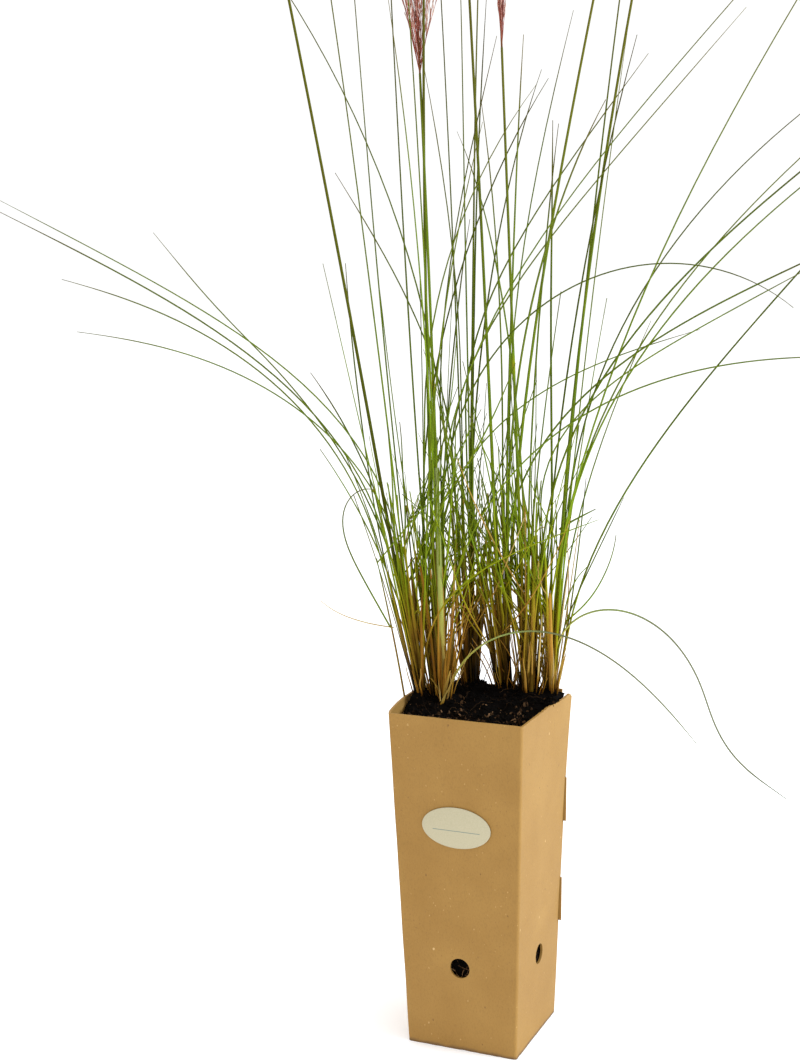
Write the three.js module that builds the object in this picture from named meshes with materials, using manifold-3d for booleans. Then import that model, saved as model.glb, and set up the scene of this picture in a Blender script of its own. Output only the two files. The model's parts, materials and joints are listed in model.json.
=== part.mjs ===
// Pink muhly grass in a tall square kraft-board pot.
// Millimetres, +Z up, the origin at the middle of the pot's underside, the front face towards -Y.
import * as THREE from 'three';
import { mergeVertices } from 'three/addons/utils/BufferGeometryUtils.js';
import Module from 'manifold-3d';

const wasm = await Module();
wasm.setup();

// ---- driving sizes -------------------------------------------------------------------------
const POT_HEIGHT = 216;
const POT_TOP = { x: 88, y: 92 };
const POT_FOOT = { x: 73, y: 76 };
const BOARD = 1.5;              // thickness of the kraft board
const CLEAR = 0.3;              // gap kept between pieces that touch
const LEFT_BOW = 5;             // how far damp soil pushes the left wall out at the rim
const LEFT_LIFT = 1.5;          // the left wall's rim stands a little higher in its middle
const BACK_LIFT = 1.2;          // the back wall's rim rises towards its free edge
const EAR = { worn: 1.0, peak: 39.5, round: 4.5, cut: 6 };   // the rim beside the rear right fold
const FLARE = 1.6;              // how far that fold has sprung outwards at the rim
const LAP = 10;                 // width of the flap folded round the rear right corner
const LAP_TURN = 2.5;           // radius of the soft fold that the lap turns on
const FREE_EDGE = 4;            // from the right wall to the back wall's free edge
const FOLD = 1.2;               // size of a crisp fold at a corner
const BOW_PIECES = 6;           // straight stretches along the bowed left wall
const HOLE = { diameter: 13, height: 55, sides: 16, drill: 14 };
const SLOT = { width: 3, length: 31, heights: [78, 145], cut: 6, tab: 6, tabLap: 1.0 };
const LABEL = { width: 45, height: 26.2, thick: 0.5, centre: 147.4, sides: 20 };
const SOIL_FLOOR = BOARD + CLEAR;
const SOIL_GAP = 1.1;           // between the soil and the board's inside
const SOIL_CELLS = 12;
const SOIL_LEVEL = 208.5;       // the soil's height along the front wall
const HEAP = 8;                 // how much higher it lies along the back
const CRUMBS = { count: 16, size: [1.6, 3] };

// ---- the grass -----------------------------------------------------------------------------
// Each tuft: where its crown stands, the soil's height there, the crown's radius,
// and how far the whole tuft leans along X and Y, in degrees.
const TUFTS = {
  left: { x: -38.5, y: -5, soil: 217, radius: 4.4, lean: [-7, -3] },
  front: { x: -28, y: 3, soil: 213, radius: 7.2, lean: [-3, -1] },
  middle: { x: -20, y: 32, soil: 217, radius: 6.8, lean: [0, 0] },
  centre: { x: 4, y: 32, soil: 216, radius: 6.8, lean: [-5, -2] },
  right: { x: 20.5, y: 31, soil: 214, radius: 7.5, lean: [0, 0] },
  corner: { x: 33.5, y: 34.5, soil: 214, radius: 4.6, lean: [-2, -1] },
};
const CROWN = { depth: 14, dome: 4, flare: 1.6, sides: 9 };
const ROOTED = 6;               // how deep a blade starts under its crown's top

// The long leaves and culms that give the plant its outline, chosen by hand:
// azimuth, lean at the foot, height of the straight foot, lean at the tip, how the bend is
// spread along the leaf (under 1 bends early), length, and for a few how far the tip turns up
// again. Angles in degrees.
const LONG_LEAVES = {
  left: [
    [180, 15, 10, 3, 1, 278], [240, 6, 40, 10, 1, 520], [150, 9, 40, 6, 1, 500],
    [20, 1, 60, -1, 1, 271], [30, 1, 180, 38, 1, 395], [340, 4, 25, 68, 0.33, 205],
    [200, 7, 102, 62, 0.33, 439], [230, 12, 98, 63, 0.43, 420], [190, 14, 99, 75, 0.67, 381],
    [215, 6, 73, 81, 0.71, 349], [170, 10, 60, 42, 1, 224], [200, 14, 10, 9, 1, 95],
    [170, 10, 52, 58, 0.5, 375, 12],
  ],
  front: [
    [160, 11, 60, 8, 1, 283], [230, 1, 90, 6, 1, 540], [200, 4, 60, 2, 0.5, 560],
    [20, 0, 190, 14, 0.5, 415], [20, 0, 125, 42, 0.33, 540], [10, 0, 105, 130, 1.3, 430],
    [22, 0, 100, 74, 0.5, 325], [0, 2, 41, 90, 0.7, 387], [350, 10, 3, 135, 0.58, 216],
  ],
  middle: [
    [190, 4, 150, 40, 0.9, 560], [200, 1, 60, 3, 1, 520], [230, 1, 200, 12, 0.8, 395],
    [80, 1, 60, 4, 1, 520], [220, 3, 150, 32, 0.5, 345], [10, -5, 142, 42, 0.25, 480],
    [20, -1, 178, 37, 0.35, 429],
  ],
  centre: [
    [200, 0, 150, 8, 1.5, 375], [40, 1, 180, 15, 0.6, 430], [350, 0, 85, 66, 0.4, 400],
  ],
  right: [
    [180, 1, 190, 38, 0.4, 425], [20, 5, 120, 15, 1, 415], [0, 9, 60, 33, 0.6, 540],
    [350, 4, 90, 54, 0.5, 430],
  ],
  corner: [
    [240, 0, 150, 5, 1, 345], [60, 5, 60, 11, 1, 520], [15, 5, 80, 8, 1, 415],
    [40, 5, 120, 56, 0.7, 460], [350, 4, 80, 50, 0.6, 440], [343, 4, 80, 54, 0.6, 430],
    [60, 8, 60, 32, 0.6, 255], [0, -4, 121, 64, 0.25, 379], [15, 11, 46, 41, 0.36, 358],
    [20, 10, 19, 5, 0.9, 144], [15, 5, 27, 25, 0.2, 139],
    [4, 4, 30, 176, 0.4, 247, 53],
  ],
};
// Culms, the stiff round stems: the same numbers, then the length of the panicle on top, or 0,
// and how far that has opened.
const CULMS = {
  left: [[215, 9, 60, 11, 1, 560, 0, 0]],
  front: [[335, -1.6, 60, -3.2, 1, 391, 210, 1], [150, 3, 60, -2, 1, 480, 200, 1.6]],
  middle: [],
  centre: [[200, 2, 60, 3, 1, 500, 0, 0], [0, 2, 60, 12, 0.5, 465, 200, 1.7]],
  right: [[210, 2, 60, 2, 1, 404, 170, 0.4]],
  corner: [[30, 3, 60, 11, 0.8, 490, 190, 1.6]],
};
// What fills each tuft, placed by rule: how many straw sheaths, clipped leaves and long leaves.
const FILL = {
  left: [8, 7, 2], front: [13, 12, 2], middle: [9, 8, 3], centre: [10, 8, 2], right: [12, 12, 2],
  corner: [6, 6, 1],
};
const SHEATH = { width: 3.2, depth: 2.2, tip: 1.4, length: [50, 110], fan: 5, stray: 3 };
const CLIPPED = { width: 2.2, depth: 1.2, tip: 1.3, length: [85, 145], fan: 6, stray: 4 };
const LEAF = { width: 1.4, depth: 1.0, tip: 0.8 };
const CULM = { width: 2.0, depth: 2.0, tip: 1.4 };
const WILD = { length: [300, 470], lean: [0, 6], bend: [10, 60], towards: [[70, 140], [250, 320]] };
const PANICLE = { rachis: 1.2, tip: 0.7, branches: 16, thick: 0.8, lean: [9, 15], reach: [34, 64] };

const THINNEST = 0.6;           // no blade is thinner than this
const GOLDEN_ANGLE = 137.5;
const TURNS = 24;               // how many small turns a blade tries to pass its neighbours
const TURN_STEP = 3.5;          // degrees
const PASS_GAP = 0.45;          // between blades of two tufts

const COLOURS = {
  board: 0xb8935a, label: 0xe6d8b8, soil: 0x2a211b, straw: 0x7f8447, pink: 0xa8606a,
};

// ---- small tools ---------------------------------------------------------------------------
const mix = (a, b, t) => a + (b - a) * t;
const rad = THREE.MathUtils.degToRad;

function drawFrom(seed) {
  let state = seed >>> 0;
  return (low = 0, high = 1) => {
    state = (Math.imul(state, 1664525) + 1013904223) >>> 0;
    return low + (high - low) * state / 4294967296;
  };
}

function solidOf(geometry) {
  const bare = geometry.index ? geometry.toNonIndexed() : geometry.clone();
  bare.deleteAttribute('normal');
  bare.deleteAttribute('uv');
  const merged = mergeVertices(bare, 1e-4);
  return new wasm.Manifold(new wasm.Mesh({
    numProp: 3,
    vertProperties: new Float32Array(merged.attributes.position.array),
    triVerts: new Uint32Array(merged.index.array),
  }));
}

function meshOf(name, solid, colour, roughness = 0.9) {
  const made = solid.getMesh();
  const geometry = new THREE.BufferGeometry();
  geometry.setAttribute('position', new THREE.BufferAttribute(made.vertProperties, 3));
  geometry.setIndex(new THREE.BufferAttribute(made.triVerts, 1));
  geometry.computeVertexNormals();
  const material = new THREE.MeshStandardMaterial({ color: colour, roughness, metalness: 0 });
  const mesh = new THREE.Mesh(geometry, material);
  mesh.name = name;
  return mesh;
}

// A closed skin over rows of points: every row has the same count and closes on itself,
// and the first and last rows are capped round their middle points.
function skin(rows) {
  const count = rows[0].length;
  const points = rows.flat();
  const faces = [];
  for (let r = 0; r + 1 < rows.length; r++) {
    for (let i = 0; i < count; i++) {
      const j = (i + 1) % count;
      const [a, b, c, d] = [r * count + i, r * count + j, (r + 1) * count + j, (r + 1) * count + i];
      faces.push(a, b, c, a, c, d);
    }
  }
  const last = (rows.length - 1) * count;
  for (let i = 1; i + 1 < count; i++) {
    faces.push(0, i + 1, i, last, last + i, last + i + 1);
  }
  const geometry = new THREE.BufferGeometry();
  geometry.setAttribute('position', new THREE.Float32BufferAttribute(points.flat(), 3));
  geometry.setIndex(faces);
  return geometry;
}

// ---- the pot -------------------------------------------------------------------------------
const halfX = (z) => mix(POT_FOOT.x, POT_TOP.x, z / POT_HEIGHT) / 2;
const halfY = (z) => mix(POT_FOOT.y, POT_TOP.y, z / POT_HEIGHT) / 2;
const bowAt = (y, z) => LEFT_BOW * (z / POT_HEIGHT) * Math.max(0, 1 - (y / halfY(z)) ** 2);
const FACE_LEAN = Math.atan((POT_TOP.y - POT_FOOT.y) / 2 / POT_HEIGHT);
const BACK_INSET = BOARD + 0.5;  // the back wall lies inside the lap of the right wall

// The board's middle line at height z, from the back wall's free edge round to the lap's end.
function sheetLine(z) {
  const x = halfX(z) - BOARD / 2;
  const y = halfY(z) - BOARD / 2;
  const back = y - BACK_INSET;
  const soft = 0.3 * LAP_TURN;
  const line = [[x - FREE_EDGE, back], [0, back], [-x + FOLD, back], [-x, back - FOLD]];
  for (let i = 1; i < BOW_PIECES; i++) {
    const along = mix(back - FOLD, -y + FOLD, i / BOW_PIECES);
    line.push([-x - bowAt(along, z), along]);
  }
  line.push([-x, -y + FOLD], [-x + FOLD, -y], [x - FOLD, -y], [x, -y + FOLD]);
  const down = y / halfY(POT_HEIGHT);
  const side = [[x, 2 * down], [x, 26 * down], [x, EAR.peak * down],
    [x, y - LAP_TURN], [x - soft, y - soft], [x - LAP_TURN, y], [x - LAP, y]];
  const { smoothstep } = THREE.MathUtils;
  const spring = FLARE * (z / POT_HEIGHT) ** 6;
  return [...line, ...side.map(([u, v]) => [u + spring * smoothstep(v, 0, 46) * smoothstep(u, 20, 42), v])];
}

// The same line moved sideways by half the board, its corners mitred.
function sideLine(line, shift) {
  return line.map(([x, y], i) => {
    const before = line[Math.max(i - 1, 0)];
    const after = line[Math.min(i + 1, line.length - 1)];
    const unit = (p, q) => {
      const length = Math.hypot(q[0] - p[0], q[1] - p[1]);
      return [(q[0] - p[0]) / length, (q[1] - p[1]) / length];
    };
    const u = i === 0 ? unit([x, y], after) : unit(before, [x, y]);
    const v = i === line.length - 1 ? u : unit([x, y], after);
    const sum = [u[0] + v[0], u[1] + v[1]];
    const miter = 2 / (sum[0] ** 2 + sum[1] ** 2);
    return [x + sum[1] * miter * shift, y - sum[0] * miter * shift];
  });
}

// The rim over point i of the board's line: lifted at the back wall's free edge and along the
// bowed left wall, and worn down to a blunt ear beside the rear right fold. The lap is cut slanting.
function rimHeight(i, count) {
  const fromEnd = count - 1 - i;
  if (i === 0) return POT_HEIGHT + BACK_LIFT;
  if (i > 3 && i < 3 + BOW_PIECES) return POT_HEIGHT + LEFT_LIFT;
  if (fromEnd === 0) return POT_HEIGHT - EAR.round - EAR.cut;
  if (fromEnd < 3) return POT_HEIGHT - EAR.round;
  if (fromEnd === 3) return POT_HEIGHT - 0.4 * EAR.round;
  if (fromEnd === 4) return POT_HEIGHT - 0.2 * EAR.worn;
  return POT_HEIGHT - (fromEnd === 5 ? EAR.worn : 0);
}

function sleeve() {
  const count = sheetLine(0).length;
  const rows = [];
  for (let i = 0; i < count; i++) {
    const top = rimHeight(i, count);
    const levels = [0, 0.5, 0.8, 1].map((part) => part * top);
    const outer = levels.map((z) => [...sideLine(sheetLine(z), BOARD / 2)[i], z]);
    const inner = levels.map((z) => [...sideLine(sheetLine(z), -BOARD / 2)[i], z]).reverse();
    rows.push([...outer, ...inner].reverse());
  }
  return solidOf(skin(rows));
}

function drainHole(angle) {
  const radius = HOLE.diameter / 2;
  const drill = new THREE.CylinderGeometry(radius, radius, HOLE.drill, HOLE.sides);
  const across = Math.abs(Math.sin(angle)) > 0.5 ? halfY(HOLE.height) : halfX(HOLE.height);
  drill.rotateZ(Math.PI / 2);
  drill.translate(across, 0, 0);
  drill.rotateZ(angle);
  drill.translate(0, 0, HOLE.height);
  return solidOf(drill);
}

function box(width, depth, height, lean, x, y, z) {
  return solidOf(new THREE.BoxGeometry(width, depth, height).rotateX(lean).translate(x, y, z));
}

// The slots beside the rear right fold, and the tabs of the back wall's edge that stand in them.
function slotAndTab(height) {
  const x = halfX(height) - BOARD / 2;
  const back = halfY(height) - BOARD / 2 - BACK_INSET;
  const slot = box(SLOT.cut, SLOT.width, SLOT.length, -FACE_LEAN, x, back, height);
  const tabLength = SLOT.length - 2;
  const tab = box(SLOT.tab, 0.7 * BOARD, tabLength, -FACE_LEAN, x - SLOT.tabLap, back, height);
  return { slot, tab };
}

function makePot() {
  let pot = sleeve();
  for (let turn = 0; turn < 4; turn++) pot = pot.subtract(drainHole(turn * Math.PI / 2));
  for (const height of SLOT.heights) {
    const { slot, tab } = slotAndTab(height);
    pot = pot.subtract(slot).add(tab);
  }
  return meshOf('pot_sleeve', pot, COLOURS.board);
}

function makeBase() {
  const inX = halfX(0) - BOARD - CLEAR;
  const front = -halfY(0) + BOARD + CLEAR;
  const back = halfY(0) - BOARD - BACK_INSET - CLEAR;
  const cut = 2 * FOLD;
  const outline = new THREE.Shape([
    [inX - cut, front], [inX, front + cut], [inX, back - cut], [inX - cut, back],
    [-inX + cut, back], [-inX, back - cut], [-inX, front + cut], [-inX + cut, front],
  ].map(([x, y]) => new THREE.Vector2(x, y)));
  const panel = new THREE.ExtrudeGeometry(outline, { depth: BOARD, bevelEnabled: false });
  return meshOf('pot_base', solidOf(panel), COLOURS.board);
}

function makeLabel() {
  const outline = new THREE.Shape();
  outline.absellipse(0, 0, LABEL.width / 2, LABEL.height / 2, 0, Math.PI * 2);
  const oval = new THREE.ExtrudeGeometry(outline, {
    depth: LABEL.thick, bevelEnabled: false, curveSegments: LABEL.sides,
  });
  oval.rotateX(Math.PI / 2 + FACE_LEAN);
  oval.translate(0, -halfY(LABEL.centre) - CLEAR, LABEL.centre);
  return meshOf('label', solidOf(oval), COLOURS.label, 0.6);
}

// ---- the soil ------------------------------------------------------------------------------
// The soil's surface: heaped towards the back and round the left tuft, sunk in the front right
// corner, and a little uneven.
function soilHeight(x, y) {
  const { smoothstep } = THREE.MathUtils;
  const { left } = TUFTS;
  const heap = HEAP * smoothstep(y, -30, 34);
  const hollow = 3.5 * smoothstep(x, 5, 40) * smoothstep(-y, -10, 40);
  const mound = 6 * Math.exp(-((x - left.x) ** 2 + (y - left.y) ** 2) / 260);
  const uneven = 0.8 * Math.sin(0.31 * x + 0.9) * Math.cos(0.27 * y);
  return SOIL_LEVEL + heap - hollow + mound + uneven;
}

function soilBlock() {
  const place = (u, v, z) => {
    const front = -halfY(z) + BOARD + SOIL_GAP;
    const back = halfY(z) - BOARD - BACK_INSET - SOIL_GAP;
    const y = mix(front, back, v);
    const right = halfX(z) - BOARD - SOIL_GAP;
    const left = -right - 0.9 * bowAt(y, z);
    return [mix(left, right, u), y, z];
  };
  const top = [];
  const n = SOIL_CELLS;
  for (let j = 0; j <= n; j++) {
    for (let i = 0; i <= n; i++) {
      const [x, y] = place(i / n, j / n, SOIL_LEVEL);
      const edge = i === 0 || j === 0 || i === n || j === n;
      const z = edge ? Math.min(soilHeight(x, y) - 1, POT_HEIGHT - 3) : soilHeight(x, y);
      top.push(place(i / n, j / n, z));
    }
  }
  const ring = [];
  for (let i = 0; i < n; i++) ring.push([i, 0]);
  for (let j = 0; j < n; j++) ring.push([n, j]);
  for (let i = n; i > 0; i--) ring.push([i, n]);
  for (let j = n; j > 0; j--) ring.push([0, j]);
  const points = [...top, ...ring.map(([i, j]) => place(i / n, j / n, SOIL_FLOOR))];
  const middle = points.push(place(0.5, 0.5, SOIL_FLOOR)) - 1;
  const at = (i, j) => j * (n + 1) + i;
  const faces = [];
  for (let j = 0; j < n; j++) {
    for (let i = 0; i < n; i++) {
      faces.push(at(i, j), at(i + 1, j), at(i + 1, j + 1), at(i, j), at(i + 1, j + 1), at(i, j + 1));
    }
  }
  ring.forEach(([i, j], k) => {
    const next = (k + 1) % ring.length;
    const [low, lowNext] = [top.length + k, top.length + next];
    const [high, highNext] = [at(i, j), at(...ring[next])];
    faces.push(high, low, lowNext, high, lowNext, highNext, middle, lowNext, low);
  });
  const geometry = new THREE.BufferGeometry();
  geometry.setAttribute('position', new THREE.Float32BufferAttribute(points.flat(), 3));
  geometry.setIndex(faces);
  return solidOf(geometry);
}

function crumbs() {
  const draw = drawFrom(91);
  const lumps = [];
  while (lumps.length < CRUMBS.count) {
    const x = draw(-36, 38);
    const y = draw(-39, 34);
    const size = draw(...CRUMBS.size);
    const turn = [draw(0, 3), draw(0, 3)];
    const clear = Object.values(TUFTS).every((t) => Math.hypot(t.x - x, t.y - y) > t.radius + size + 1);
    if (!clear) continue;
    const lump = new THREE.IcosahedronGeometry(size, 0);
    lump.rotateX(turn[0]).rotateZ(turn[1]).scale(1, 0.85, 0.7);
    lumps.push(solidOf(lump.translate(x, y, soilHeight(x, y))));
  }
  return wasm.Manifold.union(lumps);
}

// A crown, the fused foot of a tuft, is a short plug in the soil with a low dome on top.
// Its hole in the soil is the plug's shape, a little wider, and opens out towards the surface.
function crownShape(tuft, hole = false) {
  const r = tuft.radius;
  const foot = -CROWN.depth;
  const profile = hole
    ? [[0, foot - CLEAR], [0.55 * r + CLEAR, foot - CLEAR], [r + CLEAR, -3], [r + CROWN.flare, 2],
      [r + CROWN.flare, 30], [0, 30]]
    : [[0, foot], [0.55 * r, foot], [r, -3], [r, 0], [0.7 * r, 0.7 * CROWN.dome], [0, CROWN.dome]];
  const lathe = new THREE.LatheGeometry(profile.map(([x, z]) => new THREE.Vector2(x, z)), CROWN.sides);
  return lathe.rotateX(Math.PI / 2).translate(tuft.x, tuft.y, tuft.soil);
}

function makeSoil() {
  let soil = soilBlock().add(crumbs());
  for (const tuft of Object.values(TUFTS)) soil = soil.subtract(solidOf(crownShape(tuft, true)));
  return meshOf('soil', soil, COLOURS.soil, 1);
}

// ---- the grass -----------------------------------------------------------------------------
// A blade: its foot, azimuth, leans, straight foot, bend spread, length, widths and sides.
function leanAt(blade, arc) {
  const t = Math.max(0, (arc - blade.rise) / (blade.length - blade.rise));
  const share = blade.power < 1 ? 1 - (1 - t) ** (1 / blade.power) : t ** blade.power;
  const back = (blade.upturn ?? 0) * THREE.MathUtils.smoothstep(t, 0.6, 0.95);
  return rad(mix(blade.lean, blade.bend, share) - back);
}

const SUBSTEPS = 6;
function curveOf(blade) {
  const steps = blade.segments * SUBSTEPS;
  const step = blade.length / steps;
  const [cx, cy] = [Math.cos(rad(blade.azimuth)), Math.sin(rad(blade.azimuth))];
  let [x, y, z] = blade.foot;
  const points = [[x, y, z]];
  for (let i = 1; i <= steps; i++) {
    const lean = leanAt(blade, (i - 0.5) * step);
    x += step * Math.sin(lean) * cx;
    y += step * Math.sin(lean) * cy;
    z += step * Math.cos(lean);
    if (i % SUBSTEPS === 0) points.push([x, y, z]);
  }
  return points;
}

const widthAt = (blade, t) => mix(blade.width, blade.tip, t);

function bladeRows(blade) {
  const points = curveOf(blade);
  const side = [-Math.sin(rad(blade.azimuth)), Math.cos(rad(blade.azimuth)), 0];
  return points.map((point, i) => {
    const t = i / (points.length - 1);
    const lean = leanAt(blade, t * blade.length);
    const up = [
      -Math.cos(lean) * Math.cos(rad(blade.azimuth)),
      -Math.cos(lean) * Math.sin(rad(blade.azimuth)),
      Math.sin(lean),
    ];
    const wide = widthAt(blade, t) / 2;
    const deep = Math.max(THINNEST, wide * 2 * blade.depth / blade.width) / 2;
    const corners = blade.sides === 3
      ? [[-wide, deep], [0, -deep], [wide, deep]]
      : [[-wide, 0], [0, -deep], [wide, 0], [0, deep]];
    return corners.map(([s, u]) => point.map((p, k) => p + s * side[k] + u * up[k]));
  });
}

function segmentGap(p, p2, q, q2) {
  const dot = (a, b) => a[0] * b[0] + a[1] * b[1] + a[2] * b[2];
  const minus = (a, b) => [a[0] - b[0], a[1] - b[1], a[2] - b[2]];
  const clamp = (v) => Math.min(1, Math.max(0, v));
  const [d1, d2, r] = [minus(p2, p), minus(q2, q), minus(p, q)];
  const [a, e, f, c, b] = [dot(d1, d1), dot(d2, d2), dot(d2, r), dot(d1, r), dot(d1, d2)];
  const flat = a * e - b * b;
  let s = flat > 1e-9 ? clamp((b * f - c * e) / flat) : 0;
  let t = (b * s + f) / e;
  if (t < 0) [s, t] = [clamp(-c / a), 0];
  if (t > 1) [s, t] = [clamp((b - c) / a), 1];
  return Math.hypot(...r.map((v, k) => v + d1[k] * s - d2[k] * t));
}

function passes(blade, others) {
  const { line } = blade;
  for (const other of others) {
    if (other.group === blade.group) continue;
    for (let i = 0; i + 1 < line.length; i++) {
      const [p, p2] = [line[i], line[i + 1]];
      const mine = widthAt(blade, i / (line.length - 1)) / 2;
      for (let j = 0; j + 1 < other.line.length; j++) {
        const [q, q2] = [other.line[j], other.line[j + 1]];
        const need = mine + widthAt(other, j / (other.line.length - 1)) / 2 + PASS_GAP;
        if (Math.min(p[2], p2[2]) - Math.max(q[2], q2[2]) > need) continue;
        if (Math.min(q[2], q2[2]) - Math.max(p[2], p2[2]) > need) continue;
        if (segmentGap(p, p2, q, q2) < need) return false;
      }
    }
  }
  return true;
}

// Turns a blade by small steps, left and right in turn, until it passes its neighbours.
// One that can't pass them is left out.
function settle(blade, grown) {
  const azimuth = blade.azimuth;
  for (let k = 0; k < TURNS; k++) {
    blade.azimuth = azimuth + TURN_STEP * Math.ceil(k / 2) * (k % 2 ? 1 : -1);
    blade.line = curveOf(blade);
    if (passes(blade, grown)) {
      grown.push(blade);
      return;
    }
  }
}

function segmentsFor(lean, bend) {
  return 2 + Math.ceil(Math.abs(bend - lean) / 14);
}

// A foot inside the crown, out towards the side that the blade leans to.
function footOf(tuft, azimuth, lean, draw) {
  const out = tuft.radius * Math.min(0.8, 0.2 + Math.abs(lean) / 14) * draw(0.6, 1);
  const angle = rad(azimuth + draw(-50, 50));
  const top = tuft.soil + CROWN.dome - ROOTED;
  return [tuft.x + out * Math.cos(angle), tuft.y + out * Math.sin(angle), top];
}

function longBlade(group, row, size, draw, sides) {
  const [azimuth, lean, rise, bend, power, length] = row;
  const foot = footOf(TUFTS[group], azimuth, lean, draw);
  const segments = segmentsFor(lean, bend);
  return { group, azimuth, lean, rise, bend, power, length, foot, segments, sides, ...size };
}

// Number i of a tuft's fill: the feet spread over the crown, and the blades fan out with them.
function filler(group, size, i, count, draw) {
  const tuft = TUFTS[group];
  const spread = Math.sqrt((i + 0.5) / count);
  const side = rad(i * GOLDEN_ANGLE + draw(-15, 15));
  const out = 0.9 * (tuft.radius - size.width / 2) * spread;
  const foot = [
    tuft.x + out * Math.cos(side), tuft.y + out * Math.sin(side), tuft.soil + CROWN.dome - ROOTED,
  ];
  const fan = size.fan * spread * draw(0.4, 1.1);
  const leanX = tuft.lean[0] + fan * Math.cos(side) + draw(-size.stray, size.stray);
  const leanY = tuft.lean[1] + fan * Math.sin(side) + draw(-size.stray, size.stray);
  const lean = Math.hypot(leanX, leanY);
  const azimuth = THREE.MathUtils.radToDeg(Math.atan2(leanY, leanX));
  const length = draw(...size.length);
  return {
    group, azimuth, lean, rise: 0.3 * length, bend: lean + draw(-4, 6), power: 1, length, foot,
    segments: 2, sides: 3, width: size.width * draw(0.6, 1.15), depth: size.depth, tip: size.tip,
  };
}

function growGrass() {
  const grown = [];
  const draw = drawFrom(2026);
  for (const [group, rows] of Object.entries(CULMS)) {
    for (const row of rows) {
      const blade = longBlade(group, row, CULM, draw, 4);
      [blade.panicle, blade.open] = row.slice(6);
      settle(blade, grown);
    }
  }
  const rachises = grown.filter((b) => b.panicle).map((culm) => growRachis(culm, grown));
  for (const rachis of rachises) growBranches(rachis, grown);
  for (const [group, rows] of Object.entries(LONG_LEAVES)) {
    for (const row of rows) {
      settle({ ...longBlade(group, row, LEAF, draw, 3), upturn: row[6] }, grown);
    }
  }
  for (const [group, [sheaths, clipped, wild]] of Object.entries(FILL)) {
    for (let i = 0; i < sheaths; i++) settle(filler(group, SHEATH, i, sheaths, draw), grown);
    for (let i = 0; i < clipped; i++) settle(filler(group, CLIPPED, i + 0.5, clipped, draw), grown);
    for (let i = 0; i < wild; i++) {
      const azimuth = draw(...WILD.towards[i % 2]);
      const length = draw(...WILD.length);
      const row = [azimuth, draw(...WILD.lean), 0.3 * length, draw(...WILD.bend), 1, length];
      settle(longBlade(group, row, LEAF, draw, 3), grown);
    }
  }
  return grown;
}

// A panicle: a slim rachis above its culm, and branches that rise from it all round.
function growRachis(culm, grown) {
  const group = `panicle_${culm.group}_${Math.round(culm.length)}`;
  const end = culm.line[culm.line.length - 1];
  const lean = culm.bend;
  const tilt = (up) => [
    end[0] + up * Math.sin(rad(lean)) * Math.cos(rad(culm.azimuth)),
    end[1] + up * Math.sin(rad(lean)) * Math.sin(rad(culm.azimuth)),
    end[2] + up * Math.cos(rad(lean)),
  ];
  const rachis = {
    group, azimuth: culm.azimuth, lean, bend: lean + 6, rise: 0, power: 1, length: culm.panicle,
    foot: tilt(CLEAR + 0.1), segments: 3, sides: 3, open: culm.open,
    width: PANICLE.rachis, depth: PANICLE.rachis, tip: PANICLE.tip, seed: Math.round(culm.length) * 7 + 3,
  };
  rachis.line = curveOf(rachis);
  grown.push(rachis);
  return rachis;
}

function growBranches(rachis, grown) {
  const draw = drawFrom(rachis.seed);
  for (let i = 0; i < PANICLE.branches; i++) {
    const t = 0.02 + 0.9 * i / PANICLE.branches;
    const k = Math.floor(t * rachis.segments);
    const part = t * rachis.segments - k;
    const foot = rachis.line[k].map((v, axis) => mix(v, rachis.line[k + 1][axis], part));
    const length = mix(PANICLE.reach[1], PANICLE.reach[0], t) * draw(0.75, 1.1);
    const rise = rachis.open * draw(...PANICLE.lean);
    const branch = {
      group: rachis.group, azimuth: i * GOLDEN_ANGLE, lean: rise, bend: rise + draw(-4, 7), rise: 0, power: 1,
      length, foot, segments: 1, sides: 3, width: PANICLE.thick, depth: PANICLE.thick, tip: 0.6,
    };
    settle(branch, grown);
  }
}

// Fuses blades into one body. Where blades close in on a space between them, it is filled:
// its wall is a shell of its own with a volume below nought, and only the outer shell is kept.
function fuse(blades, more = []) {
  const whole = wasm.Manifold.union([...more, ...blades.map((b) => solidOf(skin(bladeRows(b))))]);
  return whole.decompose().sort((a, b) => b.volume() - a.volume())[0];
}

// ---- assembly ------------------------------------------------------------------------------
const plant = new THREE.Group();
plant.add(makePot(), makeBase(), makeLabel(), makeSoil());
const grass = growGrass();
for (const [name, tuft] of Object.entries(TUFTS)) {
  const blades = grass.filter((blade) => blade.group === name);
  plant.add(meshOf(`tuft_${name}`, fuse(blades, [solidOf(crownShape(tuft))]), COLOURS.straw));
}
const panicles = [...new Set(grass.map((blade) => blade.group))].filter((g) => g.startsWith('panicle'));
panicles.forEach((group, i) => {
  const branches = grass.filter((blade) => blade.group === group);
  plant.add(meshOf(`panicle_${i + 1}`, fuse(branches), COLOURS.pink));
});

export default plant;
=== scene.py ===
# %% [markdown]
# # Pink muhly grass in a kraft-board pot
# A young ornamental grass stands in a tall square pot folded from brown board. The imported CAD
# model is the fixed frame: it says where everything is. Each soft or natural solid is stood for
# here by a finer mesh on the same lines, and the plain ones get a better finish.
# All lengths below are millimetres, and `MM` turns them to Blender's metres at the last moment.

# %% Load the frame
import json
import math

import bmesh
import bpy
import numpy as np
from mathutils import Euler, Matrix, Vector, noise

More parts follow.
